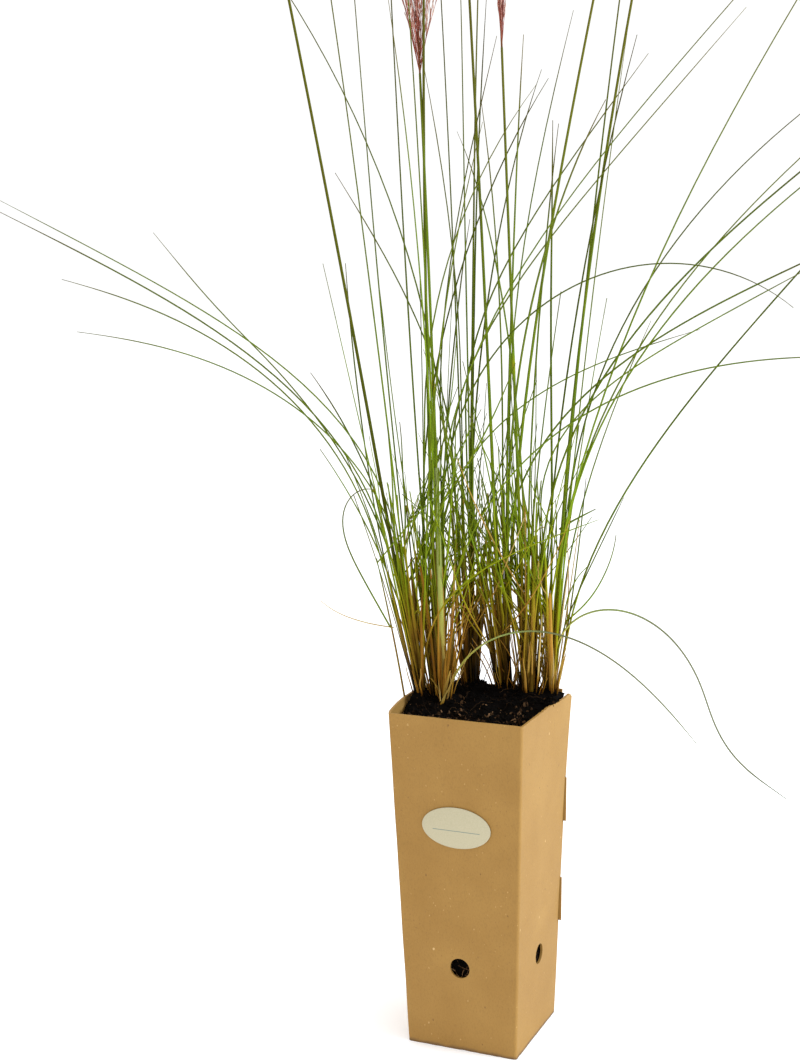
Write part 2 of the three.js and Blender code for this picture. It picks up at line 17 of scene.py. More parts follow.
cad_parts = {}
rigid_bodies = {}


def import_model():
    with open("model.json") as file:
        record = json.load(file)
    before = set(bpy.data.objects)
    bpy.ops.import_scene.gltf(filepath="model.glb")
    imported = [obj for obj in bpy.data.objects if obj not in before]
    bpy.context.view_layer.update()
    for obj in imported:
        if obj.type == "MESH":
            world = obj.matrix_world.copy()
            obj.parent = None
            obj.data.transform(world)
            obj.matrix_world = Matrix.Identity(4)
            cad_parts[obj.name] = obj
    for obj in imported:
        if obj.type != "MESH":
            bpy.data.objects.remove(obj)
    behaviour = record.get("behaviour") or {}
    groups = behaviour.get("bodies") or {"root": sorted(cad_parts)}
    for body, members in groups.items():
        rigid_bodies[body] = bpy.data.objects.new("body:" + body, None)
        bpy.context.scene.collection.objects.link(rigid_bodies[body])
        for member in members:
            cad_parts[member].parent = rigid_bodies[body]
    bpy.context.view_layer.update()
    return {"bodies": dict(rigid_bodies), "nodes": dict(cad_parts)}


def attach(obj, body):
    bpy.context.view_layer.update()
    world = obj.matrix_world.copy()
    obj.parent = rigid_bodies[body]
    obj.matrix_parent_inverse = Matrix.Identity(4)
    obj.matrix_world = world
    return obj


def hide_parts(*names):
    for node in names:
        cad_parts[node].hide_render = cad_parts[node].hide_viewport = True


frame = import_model()
MM = 0.001
BODY = next(iter(frame["bodies"]))
print("nodes", sorted(frame["nodes"]), "body", BODY)

# %% [markdown]
# ## The camera
# The plant is seen from a little above the soil and from the front right. A camera's three axes
# are worked out from its turn, its tilt and a slight roll, which is clearer than Euler angles
# when the numbers come from solving a perspective.

# %% Camera
EYE = Vector((374.1, -969.8, 495.4)) * MM
TURN, TILT, ROLL = (math.radians(a) for a in (23.82, 9.32, -0.81))
SENSOR, LENS = 36, 57.71                 # mm


def new_object(name, data):
    """An object that shows this data, linked into the scene."""
    made = bpy.data.objects.new(name, data)
    bpy.context.scene.collection.objects.link(made)
    return made


ahead = Vector((-math.sin(TURN) * math.cos(TILT), math.cos(TURN) * math.cos(TILT), -math.sin(TILT)))
level = ahead.cross(Vector((0, 0, 1))).normalized()
upright = level.cross(ahead)
right = level * math.cos(ROLL) + upright * math.sin(ROLL)
up = -level * math.sin(ROLL) + upright * math.cos(ROLL)

camera_data = bpy.data.cameras.new("studio_camera")
camera_data.sensor_width, camera_data.lens = SENSOR, LENS
camera_data.clip_start, camera_data.clip_end = 0.05, 60
camera = new_object("studio_camera", camera_data)
camera.matrix_world = Matrix((
    (right.x, up.x, -ahead.x, EYE.x), (right.y, up.y, -ahead.y, EYE.y),
    (right.z, up.z, -ahead.z, EYE.z), (0, 0, 0, 1)))
bpy.context.scene.camera = camera
print("camera", [round(v, 3) for v in camera.location])

# %% [markdown]
# ## Colours and nodes
# Colours are written as the hex values a painter would pick on screen (sRGB), and one function
# turns them to the linear values that shaders reckon with. One small function adds a node, sets
# its values and joins its links, so that each material below reads as a short list.

# %% Hex colours and the node helper
def hex_colour(code):
    """'#b3894c' as linear red, green, blue and alpha."""
    parts = [int(code[i:i + 2], 16) / 255 for i in (1, 3, 5)]
    linear = [c / 12.92 if c <= 0.04045 else ((c + 0.055) / 1.055) ** 2.4 for c in parts]
    return (*linear, 1.0)


def add_node(tree, kind, settings=None, links=None):
    """Adds one node. Its settings are properties, values of inputs or the stops of a ramp, and its
    links join sockets to its inputs."""
    node = tree.nodes.new(kind)
    for name, value in (settings or {}).items():
        if name == "stops":
            while len(node.color_ramp.elements) > 1:
                node.color_ramp.elements.remove(node.color_ramp.elements[-1])
            for i, (place, colour) in enumerate(value):
                stops = node.color_ramp.elements
                stop = stops[0] if i == 0 else stops.new(place)
                stop.position = place
                stop.color = hex_colour(colour) if isinstance(colour, str) else (*[colour] * 3, 1)
        elif isinstance(name, str) and hasattr(node, name):
            setattr(node, name, value)
        else:
            node.inputs[name].default_value = value
    for name, socket in (links or {}).items():
        tree.links.new(socket, node.inputs[name])
    return node


def new_material(name, ior, roughness):
    """A material with a plain surface shader of that gloss, ready for its colour and relief."""
    material = bpy.data.materials.new(name)
    material.use_nodes = True
    surface = material.node_tree.nodes["Principled BSDF"]
    surface.inputs["IOR"].default_value = ior
    surface.inputs["Roughness"].default_value = roughness
    return material, material.node_tree, surface


def per_metre(millimetres):
    """A texture's scale, in repeats a metre, from its real size."""
    return 1000 / millimetres


print("white is", hex_colour("#ffffff"))

# %% [markdown]
# ## The studio
# The plant stands on a white sweep under even, soft light, with one large lamp to the right that
# makes the pot's right face the brighter one. A white world gives the even light and the white
# background in one. The floor is a plain disc of cast white acrylic, as on a light table: it is
# matt and glows a little from below, which leaves only the faintest shadow round the pot's foot.

# %% Floor, world and lamps
WORLD_STRENGTH, FLOOR_RADIUS, FLOOR_SIDES = 1.05, 12, 96
# The lamps' places and sizes are in metres, and both point at a spot on the plant.
KEY = {"place": (2.0, 0.15, 1.0), "size": 0.9, "watts": 42, "colour": "#dcebff"}
TOP = {"place": (0.1, 0.1, 2.6), "size": 1.2, "watts": 12, "colour": "#ffffff"}
LAMP_TARGET = Vector((0, 0, 0.3))

world = bpy.data.worlds.new("white_studio")
world.use_nodes = True
world.node_tree.nodes["Background"].inputs["Color"].default_value = (1, 1, 1, 1)
world.node_tree.nodes["Background"].inputs["Strength"].default_value = WORLD_STRENGTH
bpy.context.scene.world = world

acrylic, tree, surface = new_material("backlit_white_acrylic", 1.49, 0.9)
surface.inputs["Base Color"].default_value = hex_colour("#fbfbfb")
surface.inputs["Specular IOR Level"].default_value = 0.1
surface.inputs["Emission Color"].default_value = (1, 1, 1, 1)
surface.inputs["Emission Strength"].default_value = 0.14

floor_mesh = bpy.data.meshes.new("floor")
rim = [(FLOOR_RADIUS * math.cos(a), FLOOR_RADIUS * math.sin(a), 0)
       for a in np.linspace(0, 2 * math.pi, FLOOR_SIDES + 1)[:-1]]
floor_mesh.from_pydata(rim, [], [list(range(FLOOR_SIDES))])
floor = new_object("floor", floor_mesh)
floor.data.materials.append(acrylic)

for name, lamp in (("key_lamp", KEY), ("top_lamp", TOP)):
    data = bpy.data.lights.new(name, "AREA")
    data.shape, data.size, data.energy = "DISK", lamp["size"], lamp["watts"]
    data.color = hex_colour(lamp["colour"])[:3]
    light = new_object(name, data)
    light.location = lamp["place"]
    aim = LAMP_TARGET - light.location
    light.rotation_mode = "QUATERNION"
    light.rotation_quaternion = aim.to_track_quat("-Z", "Y")
bpy.context.scene.view_settings.view_transform = "Standard"
print("studio ready")

# %% [markdown]
# ## Kraft board
# The pot is uncoated kraft board: unbleached wood pulp, pressed between felts. It is matt, its
# colour drifts a little from place to place, and long fibres lie in it with a few dark specks of
# bark and pale splinters. Real fibres are finer than these, which are coarse enough to show.
# Procedural noise in the object's own metres gives all of it, with no picture of cardboard.

# %% Kraft board material
MOTTLE, FIBRE, FRAY, SPECK = 30, 0.9, 0.9, 9   # sizes, and the spacing of the specks, mm
# Specks of bark and splinters: a seed, the spacing and the width in mm, the share of places that
# stay bare, and the colour.
SPECKS = [(0.0, SPECK, 0.6, 0.45, "#755426"), (4.3, SPECK * 1.2, 0.75, 0.5, "#cfab70"),
          (9.1, SPECK * 0.4, 0.45, 0.4, "#8a6530"), (2.7, SPECK * 0.45, 0.42, 0.45, "#b99256")]

kraft, tree, surface = new_material("uncoated_kraft_board", 1.5, 0.7)
surface.inputs["Specular IOR Level"].default_value = 0.4
place = add_node(tree, "ShaderNodeTexCoord").outputs["Object"]
drift = add_node(tree, "ShaderNodeTexNoise", {"Scale": per_metre(MOTTLE), "Detail": 3.0}, {"Vector": place})
base = add_node(tree, "ShaderNodeValToRGB", {"stops": [(0.3, "#997131"), (0.5, "#9d7535"), (0.7, "#a27a39")]},
                {"Fac": drift.outputs["Fac"]})
long_way = add_node(tree, "ShaderNodeMapping", {"Scale": (1, 1, 0.55)}, {"Vector": place})
fibre = add_node(tree, "ShaderNodeTexNoise", {"Scale": per_metre(FIBRE), "Detail": 4.0, "Roughness": 0.7},
                 {"Vector": long_way.outputs["Vector"]})
fibre_tone = add_node(tree, "ShaderNodeValToRGB", {"stops": [(0.3, 0.8), (0.5, 0.975), (0.7, 1.0)]},
                      {"Fac": fibre.outputs["Fac"]})
coloured = add_node(tree, "ShaderNodeMix", {"data_type": "RGBA", "blend_type": "MULTIPLY", 0: 0.8},
                    {6: base.outputs["Color"], 7: fibre_tone.outputs["Color"]}).outputs[2]
# Places shifted by about a millimetre of noise give the specks their ragged edges.
ragged = add_node(tree, "ShaderNodeTexNoise", {"Scale": per_metre(FRAY), "Detail": 2.0}, {"Vector": place})
bent = add_node(tree, "ShaderNodeMix", {"data_type": "VECTOR", 0: 0.0012},
                {4: place, 5: ragged.outputs["Color"]})
for seed, spacing, size, share, colour in SPECKS:
    moved = add_node(tree, "ShaderNodeMapping", {"Location": (seed, seed, seed), "Scale": (1, 1, 0.6)},
                     {"Vector": bent.outputs[1]})
    cells = add_node(tree, "ShaderNodeTexVoronoi", {"Scale": per_metre(spacing)},
                     {"Vector": moved.outputs["Vector"]})
    near = add_node(tree, "ShaderNodeMapRange", {
        "From Min": size / spacing, "From Max": 0.4 * size / spacing}, {"Value": cells.outputs["Distance"]})
    chosen = add_node(tree, "ShaderNodeMath", {"operation": "GREATER_THAN", 1: share},
                      {0: cells.outputs["Color"]})
    both = add_node(tree, "ShaderNodeMath", {"operation": "MULTIPLY"},
                    {0: near.outputs["Result"], 1: chosen.outputs["Value"]})
    coloured = add_node(tree, "ShaderNodeMix", {"data_type": "RGBA", 7: hex_colour(colour)},
                        {0: both.outputs["Value"], 6: coloured}).outputs[2]
# The board's foot is darker for about 2 mm along a wandering line: dirt, and painted contact shadow.
height = add_node(tree, "ShaderNodeSeparateXYZ", {}, {0: place})
wander = add_node(tree, "ShaderNodeTexNoise", {"Scale": per_metre(SPECK)}, {"Vector": place})
foot_line_height = add_node(tree, "ShaderNodeMath", {"operation": "MULTIPLY_ADD", 1: -0.003},
                {0: wander.outputs["Fac"], 2: height.outputs["Z"]})
foot_dirt_and_shade = add_node(tree, "ShaderNodeMapRange", {"From Min": 0.0012, "From Max": -0.0008},
                {"Value": foot_line_height.outputs["Value"]})
# the foot's dark brown: partly dirt, partly painted shadow where the pot stands on the floor
dirt_and_shade_coloured = add_node(tree, "ShaderNodeMix", {"data_type": "RGBA", 7: hex_colour("#6f522c")},
                 {0: foot_dirt_and_shade.outputs["Result"], 6: coloured})
tree.links.new(dirt_and_shade_coloured.outputs[2], surface.inputs["Base Color"])
relief = add_node(tree, "ShaderNodeBump", {"Strength": 0.35, "Distance": 0.0003},
                  {"Height": fibre.outputs["Fac"]})
tree.links.new(relief.outputs["Normal"], surface.inputs["Normal"])
print("kraft board with", len(tree.nodes), "nodes")

# %% [markdown]
# ## The tabs' board
# The tabs that stand in the slots beside the rear right fold get a second, darker material. Where
# the board is cut, its layers of fibre stand open, and handling rubs them soft and works dirt in;
# the rest of the tabs' dark brown is painted shade, as they stand in the slots. A simpler material
# with one fine noise is enough, since an edge is only 1.5 mm wide.

# %% Tabs' board, with painted slot shade
PULP_LAYER = 1.2                         # mm, coarser than real layers, so that they show

tab_dirt_and_shade, tree, surface = new_material("rubbed_kraft_edge_and_slot_shade", 1.5, 0.85)
surface.inputs["Specular IOR Level"].default_value = 0.1
place = add_node(tree, "ShaderNodeTexCoord").outputs["Object"]
layers = add_node(tree, "ShaderNodeTexNoise", {"Scale": per_metre(PULP_LAYER), "Detail": 3.0},
                  {"Vector": place})
# dark browns: partly the board's open, dirty layers, partly painted shade of the slots
layer_tone = add_node(tree, "ShaderNodeValToRGB", {"stops": [(0.35, "#402a10"), (0.65, "#5c401e")]},
                      {"Fac": layers.outputs["Fac"]})
tree.links.new(layer_tone.outputs["Color"], surface.inputs["Base Color"])
print("cut edges")

# %% [markdown]
# ## The pot's line
# The real pot is one strip of board folded round four corners, its last 10 mm lapped over the
# rear right one. So it is modelled as a strip: a line seen from above, given at every height,
# with rounded folds. The pot narrows to its foot, and damp soil bows the left wall outwards.

# %% Sizes of the pot, and its line from above
POT_HEIGHT, POT_TOP, POT_FOOT = 216, (88, 92), (73, 76)
BOARD, CLEAR, FOLD = 1.5, 0.3, 1.2       # the board, the gap to what touches it, a fold's radius
LEFT_BOW, FLARE = 5, 1.6                 # how far the left wall and the sprung rear fold stand out
LEFT_LIFT, BACK_LIFT = 1.5, 1.2          # how much higher these two rims are
DIP, EAR_ROUND, LAP_CUT = 1.0, 4.5, 6    # the worn right rim, its blunt ear and the slanting lap
LAP, LAP_TURN, FREE_EDGE, BACK_INSET = 10, 2.5, 4, 2.0   # the lap, and the wall that lies in it


def mix(a, b, t):
    """The value at share t of the way from a to b."""
    return a + (b - a) * t


def smoothstep(x, low, high):
    """0 below low, 1 above high and an even curve between them."""
    t = min(1, max(0, (x - low) / (high - low)))
    return t * t * (3 - 2 * t)


def half_x(z):
    """Half the pot's outer width at height z."""
    return mix(POT_FOOT[0], POT_TOP[0], z / POT_HEIGHT) / 2


def half_y(z):
    """Half the pot's outer depth at height z."""
    return mix(POT_FOOT[1], POT_TOP[1], z / POT_HEIGHT) / 2


def bow_at(y, z):
    """How far the damp soil has pushed the left wall out."""
    return LEFT_BOW * (z / POT_HEIGHT) * max(0, 1 - (y / half_y(z)) ** 2)


print("the pot is", POT_TOP, "mm at its rim and", POT_FOOT, "mm at its foot")

# %% The line from above
def flared(point, z):
    """A point of the line with the rear right fold sprung outwards near the rim."""
    spring = FLARE * (z / POT_HEIGHT) ** 6 * smoothstep(point[1], 0, 46) * smoothstep(point[0], 20, 42)
    return point[0] + spring, point[1]


def straight(a, b, count):
    """Points along a straight run, without its last one."""
    return [(mix(a[0], b[0], i / count), mix(a[1], b[1], i / count)) for i in range(count)]


def turn(a, corner, b, count=5):
    """A rounded fold from a to b round its corner."""
    points = []
    for i in range(count):
        t = i / count
        points.append(tuple((1 - t) ** 2 * p + 2 * t * (1 - t) * c + t * t * q
                            for p, c, q in zip(a, corner, b)))
    return points


def board_line(z):
    """The board's middle line at a height, from the back wall's free edge round to the lap's end."""
    x, y = half_x(z) - BOARD / 2, half_y(z) - BOARD / 2
    back = y - BACK_INSET
    line = straight((x - FREE_EDGE, back), (-x + FOLD, back), 40)
    line += turn((-x + FOLD, back), (-x, back), (-x, back - FOLD))
    for p in straight((-x, back - FOLD), (-x, -y + FOLD), 44):
        line.append((p[0] - bow_at(p[1], z), p[1]))
    line += turn((-x, -y + FOLD), (-x, -y), (-x + FOLD, -y))
    line += straight((-x + FOLD, -y), (x - FOLD, -y), 44)
    line += turn((x - FOLD, -y), (x, -y), (x, -y + FOLD))
    side = straight((x, -y + FOLD), (x, y - LAP_TURN), 56)
    side += turn((x, y - LAP_TURN), (x, y), (x - LAP_TURN, y))
    side += straight((x - LAP_TURN, y), (x - LAP, y), 5) + [(x - LAP, y)]
    return line + [flared(p, z) for p in side]


print("the line has", len(board_line(0)), "points")

# %% [markdown]
# ## Folding up the sleeve
# Skinning the line over many heights gives a grid that can be nudged point by point: the board
# is never quite flat, its foot is scuffed into a wavy edge, and handling has softened and torn
# the right wall's rim. A solidify modifier on a flat strip would be quicker, but it would not
# let the inner and outer faces end at different heights, as they do along a real torn rim; here
# both still end at the same height.

# %% The rim's height
LEVELS = 60                              # rows of faces from foot to rim


def rim_height(x, y):
    """The rim over a point of the line: lifted on the bowed wall, a little torn towards the rear
    right, where it ends in a blunt ear, and cut away slanting on the lap."""
    top = POT_HEIGHT + 0.2 * noise.noise(Vector((x, y, 0)) / 7)
    wide, deep = half_x(POT_HEIGHT), half_y(POT_HEIGHT)
    if x < -wide + 2:                    # the bowed left wall
        return top + LEFT_LIFT * max(0, 1 - (y / deep) ** 2)
    if y > deep - 1:                     # the lap
        return top - EAR_ROUND - LAP_CUT * smoothstep(-x, -wide + 1, -wide + LAP + 1)
    if y > deep - BACK_INSET - 1.6 and x < wide - 1:   # the back wall
        return top + BACK_LIFT * smoothstep(x, 0, 34)
    if x > wide - 2.5:                   # the torn rim
        frayed = 0.5 * noise.noise(Vector((y / 1.1, 8, 0))) + 0.5 * noise.noise(Vector((y / 3.5, 3, 0)))
        worn = DIP * (smoothstep(y, 2, 24) - 0.8 * smoothstep(y, 30, 40))
        torn = smoothstep(y, -30, 0) * (1 - smoothstep(y, 33, 38))
        return top - worn + frayed * torn - EAR_ROUND * max(0, (y - deep + 6.5) / 5.75) ** 1.3
    return top


def side_line(line, shift):
    """The line moved sideways, with mitred corners."""
    points = np.array(line)
    before, after = np.vstack([points[:1], points[:-1]]), np.vstack([points[1:], points[-1:]])
    arriving, leaving = points - before, after - points
    arriving[0], leaving[-1] = leaving[0], arriving[-1]
    arriving /= np.linalg.norm(arriving, axis=1)[:, None]
    leaving /= np.linalg.norm(leaving, axis=1)[:, None]
    total = arriving + leaving
    mitre = 2 / (total ** 2).sum(1)
    return points + shift * mitre[:, None] * np.stack([total[:, 1], -total[:, 0]], 1)


print("the right wall's rim is", round(rim_height(half_x(POT_HEIGHT), 0), 1), "mm high in its middle")

# %% Skin the sleeve
def sleeve_mesh():
    """Skins the line from foot to rim: an outer and an inner grid, joined along all four edges."""
    rim_line = board_line(POT_HEIGHT)
    count = len(rim_line)
    tops = [rim_height(*p) for p in rim_line]
    shares = np.linspace(0, 1, LEVELS + 1)
    grids = []
    for shift in (BOARD / 2, -BOARD / 2):
        rows = []
        for share in shares:
            at = side_line(board_line(share * POT_HEIGHT), shift)
            row = []
            for i, (x, y) in enumerate(at):
                z = share * tops[i]
                dent = 0.16 * (noise.noise(Vector((x, y, z)) / 30) - 1)
                away = Vector((x, y, 0)).normalized() * dent
                if share == 0:
                    z = max(0.0, 0.7 * noise.noise(Vector((x, y, 7)) / 6))
                row.append((x + away.x, y + away.y, z))
            rows.append(row)
        grids.append(rows)
    verts = [p for rows in grids for row in rows for p in row]
    size = count * (LEVELS + 1)
    faces = []
    for j in range(LEVELS):
        for i in range(count - 1):
            a = j * count + i
            faces.append((a + count, a + count + 1, a + 1, a))
            b = a + size
            faces.append((b, b + 1, b + count + 1, b + count))
    last = LEVELS * count
    for i in range(count - 1):
        faces.append((i, i + 1, size + i + 1, size + i))
        faces.append((last + size + i, last + size + i + 1, last + i + 1, last + i))
    for j in range(LEVELS):
        a, b = j * count, (j + 1) * count
        faces.append((a, size + a, size + b, b))
        a, b = a + count - 1, b + count - 1
        faces.append((b, size + b, size + a, a))
    mesh = bpy.data.meshes.new("kraft_sleeve")
    mesh.from_pydata([(x * MM, y * MM, z * MM) for x, y, z in verts], [], faces)
    return mesh


def closed_and_outward(mesh):
    """Turns every face outwards and says whether the mesh is closed."""
    made = bmesh.new()
    made.from_mesh(mesh)
    bmesh.ops.recalc_face_normals(made, faces=made.faces)
    open_edges = sum(1 for e in made.edges if not e.is_manifold)
    made.to_mesh(mesh)
    made.free()
    return open_edges == 0


sleeve = new_object("kraft_sleeve", sleeve_mesh())
print("sleeve closed:", closed_and_outward(sleeve.data), len(sleeve.data.polygons), "faces")

# %% [markdown]
# ## Drain holes, slots and tabs
# Round drain holes are punched through all four walls near the foot, and tabs on the back wall's
# free edge stand in two slots beside the rear right fold. Cutting with a boolean keeps the
# cutters' exact round and square shapes; the tabs are small blocks with slightly rounded edges.

# %% Cutters for the drain holes
HOLE = {"diameter": 13, "height": 55, "drill": 14}
SLOT = {"width": 3, "length": 31, "heights": (78, 145), "cut": 6, "tab": 6, "tab_lap": 1.0}
FACE_LEAN = math.atan((POT_TOP[1] - POT_FOOT[1]) / 2 / POT_HEIGHT)
SHARP_FOLD = math.radians(32)            # an edge that folds more than this stays crisp


def add_block(made, size, place_at, lean):
    """A block added to a bmesh, leaning back with the wall."""
    bmesh.ops.create_cube(made, size=1, matrix=Matrix.LocRotScale(
        Vector(place_at) * MM, Euler((lean, 0, 0)), Vector(size) * MM))


def wall_at_hole(quarter):
    """How far a wall is from the pot's middle at its drain hole. Quarter 0 is the right wall."""
    return half_y(HOLE["height"]) if quarter % 2 else half_x(HOLE["height"])


cutters = bmesh.new()
for quarter in range(4):
    stand = Matrix.Rotation(quarter * math.pi / 2, 4, "Z") @ Matrix.Translation(
        (wall_at_hole(quarter) * MM, 0, HOLE["height"] * MM))
    bmesh.ops.create_cone(cutters, cap_ends=True, segments=64, radius1=HOLE["diameter"] / 2 * MM,
                          radius2=HOLE["diameter"] / 2 * MM, depth=HOLE["drill"] * MM,
                          matrix=stand @ Matrix.Rotation(math.pi / 2, 4, "Y"))
print("cutters for the holes", len(cutters.faces), "faces")

# %% Cut the slots, and make the tabs
tabs = bmesh.new()
for level_at in SLOT["heights"]:
    x = half_x(level_at) - BOARD / 2
    back = half_y(level_at) - BOARD / 2 - BACK_INSET
    add_block(cutters, (SLOT["cut"], SLOT["width"], SLOT["length"]), (x, back, level_at), -FACE_LEAN)
    add_block(tabs, (SLOT["tab"], 0.7 * BOARD, SLOT["length"] - 2), (x - SLOT["tab_lap"], back, level_at),
              -FACE_LEAN)
bmesh.ops.bevel(tabs, geom=tabs.edges[:], offset=0.25 * MM, segments=2, affect="EDGES", profile=0.5)
cutter_mesh = bpy.data.meshes.new("cutters")
cutters.to_mesh(cutter_mesh)
cutter = new_object("cutters", cutter_mesh)
punch = sleeve.modifiers.new("punch", "BOOLEAN")
punch.operation, punch.object, punch.solver = "DIFFERENCE", cutter, "EXACT"
bpy.context.view_layer.update()
punched = bpy.data.meshes.new_from_object(sleeve.evaluated_get(bpy.context.evaluated_depsgraph_get()))
sleeve.modifiers.clear()
print("cut sleeve", len(punched.polygons), "faces")

# %% Stand the tabs in their slots and finish the sleeve
whole = bmesh.new()
whole.from_mesh(punched)
for face in tabs.faces:
    # the tabs' darker finish is partly painted shade of the slots they stand in
    face.material_index = 1              # the tabs have the cut edge's finish
tab_mesh = bpy.data.meshes.new("tabs")
tabs.to_mesh(tab_mesh)
whole.from_mesh(tab_mesh)
for edge in whole.edges:
    edge.smooth = len(edge.link_faces) == 2 and edge.calc_face_angle(0) < SHARP_FOLD
for face in whole.faces:
    face.smooth = True
whole.to_mesh(sleeve.data)
bpy.data.objects.remove(cutter)
for spent in (cutters, tabs, whole):
    spent.free()
sleeve.data.materials.clear()
sleeve.data.materials.append(kraft)
sleeve.data.materials.append(tab_dirt_and_shade)
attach(sleeve, BODY)
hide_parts("pot_sleeve")
frame["nodes"]["pot_base"].data.materials.clear()
frame["nodes"]["pot_base"].data.materials.append(kraft)
print("punched sleeve", len(sleeve.data.polygons), "faces")

# %% [markdown]
# ## The sticker
# An oval paper sticker on the front face, left without words: it keeps one thin rule to write
# on. Label paper is coated with clay and pressed smooth, so it has a soft sheen that the board
# lacks. The rule is drawn by the material from the sticker's own millimetres, which keeps its
# edge crisp at any distance. The oval itself is a stack of rings, so its front edge is rounded.

# %% Sticker's paper
LABEL = {"width": 45, "height": 26.2, "thick": 0.5, "centre": 147.4}
RULE = {"half_length": 15.5, "half_width": 0.22, "below_centre": 2}
PAPER_GRAIN = 0.8                        # mm, coarser than real paper, so that it shows

sticker_paper, tree, surface = new_material("coated_label_paper", 1.5, 0.5)
place = add_node(tree, "ShaderNodeTexCoord").outputs["Object"]
grain = add_node(tree, "ShaderNodeTexNoise", {"Scale": per_metre(PAPER_GRAIN), "Detail": 3.0},
                 {"Vector": place})
tone = add_node(tree, "ShaderNodeValToRGB", {"stops": [(0.3, "#b2a989"), (0.7, "#bab091")]},
                {"Fac": grain.outputs["Fac"]})
parts = add_node(tree, "ShaderNodeSeparateXYZ", {}, {0: place})
beside = add_node(tree, "ShaderNodeMath", {"operation": "ABSOLUTE"}, {0: parts.outputs["X"]})
along = add_node(tree, "ShaderNodeMath", {"operation": "LESS_THAN", 1: RULE["half_length"] * MM},
                 {0: beside.outputs["Value"]})
level_with = add_node(tree, "ShaderNodeMath", {"operation": "COMPARE", 2: RULE["half_width"] * MM,
                                               1: (LABEL["centre"] - RULE["below_centre"]) * MM},
                      {0: parts.outputs["Z"]})
ruled = add_node(tree, "ShaderNodeMath", {"operation": "MULTIPLY"},
                 {0: along.outputs["Value"], 1: level_with.outputs["Value"]})
inked = add_node(tree, "ShaderNodeMix", {"data_type": "RGBA", 7: hex_colour("#6f7f74")},
                 {0: ruled.outputs["Value"], 6: tone.outputs["Color"]})
tree.links.new(inked.outputs[2], surface.inputs["Base Color"])
relief = add_node(tree, "ShaderNodeBump", {"Strength": 0.08, "Distance": 0.0001},
                  {"Height": grain.outputs["Fac"]})
tree.links.new(relief.outputs["Normal"], surface.inputs["Normal"])

print("sticker's paper", sticker_paper.name)

# %% Sticker's oval
OVAL_SIDES = 96
made = bmesh.new()
# The sticker's size and how far it stands out, from its back to its softly rounded front.
ROUNDING = [(1.0, 0.0), (1.0, 0.3), (0.994, 0.45), (0.985, LABEL["thick"])]
rings = []
for grow, out in ROUNDING:
    ring = []
    for i in range(OVAL_SIDES):
        a = 2 * math.pi * i / OVAL_SIDES
        u, v = LABEL["width"] / 2 * grow * math.cos(a), LABEL["height"] / 2 * grow * math.sin(a)
        y = -half_y(LABEL["centre"]) - CLEAR - out * math.cos(FACE_LEAN) - v * math.sin(FACE_LEAN)
        z = LABEL["centre"] + v * math.cos(FACE_LEAN) - out * math.sin(FACE_LEAN)
        ring.append(made.verts.new((u * MM, y * MM, z * MM)))
    rings.append(ring)
for low_ring, high_ring in zip(rings, rings[1:]):
    for i in range(OVAL_SIDES):
        j = (i + 1) % OVAL_SIDES
        made.faces.new((low_ring[i], low_ring[j], high_ring[j], high_ring[i]))
made.faces.new(rings[0])
made.faces.new(rings[-1])
bmesh.ops.recalc_face_normals(made, faces=made.faces)
for edge in made.edges:
    edge.smooth = edge.calc_face_angle(0) < math.radians(40)
for face in made.faces:
    face.smooth = True
sticker_mesh = bpy.data.meshes.new("oval_sticker")
made.to_mesh(sticker_mesh)
made.free()
sticker = new_object("oval_sticker", sticker_mesh)
sticker.data.materials.append(sticker_paper)
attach(sticker, BODY)
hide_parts("label")
print("sticker", [round(v * 1000) for v in sticker.dimensions], "mm")

# %% [markdown]
# ## Potting soil
# The soil is peat and composted bark: nearly black where it is damp, with crumbs, chips of bark
# and hair roots on top. Its surface is one closed grid on the CAD's own height rule, roughened
# by noise at three sizes. Its sides are rough too, as they show through the drain holes. A
# sculpted block would look as good, but it couldn't be asked later how high it is at a place.

# %% Tufts' places and the soil's height
# Each tuft's place on the soil, the soil's height there, its radius, and its lean to the right
# and to the back in degrees.
TUFTS = {
    "left": {"at": (-38.5, -5), "soil": 217, "radius": 4.4, "lean": (-7, -3)},
    "front": {"at": (-28, 3), "soil": 213, "radius": 7.2, "lean": (-3, -1)},
    "middle": {"at": (-20, 32), "soil": 217, "radius": 6.8, "lean": (0, 0)},
    "centre": {"at": (4, 32), "soil": 216, "radius": 6.8, "lean": (-5, -2)},
    "right": {"at": (20.5, 31), "soil": 214, "radius": 7.5, "lean": (0, 0)},
    "corner": {"at": (33.5, 34.5), "soil": 214, "radius": 4.6, "lean": (-2, -1)},
}
SOIL_LEVEL, HEAP, SOIL_FLOOR, SOIL_GAP = 208.5, 8, BOARD + CLEAR, 1.1
SOIL_CELLS, SIDE_ROWS = 150, 34          # cells across the top, and rows down the sides


def soil_height(x, y):
    """The soil's smooth height: heaped to the back, hollow at the right, mounded on the left."""
    left_x, left_y = TUFTS["left"]["at"]
    heap = HEAP * smoothstep(y, -30, 34)
    hollow = 3.5 * smoothstep(x, 5, 40) * smoothstep(-y, -10, 40)
    mound = 6 * math.exp(-((x - left_x) ** 2 + (y - left_y) ** 2) / 260)
    return SOIL_LEVEL + heap - hollow + mound + 0.8 * math.sin(0.31 * x + 0.9) * math.cos(0.27 * y)


def lumpy(x, y, z=0.0):
    """Relief of the soil in mm, from walnut-sized swells to grit."""
    p = Vector((x, y, z))
    return 0.9 * noise.noise(p / 9) + 0.8 * noise.noise(p / 3.6) + 0.5 * noise.noise(p / 1.4)


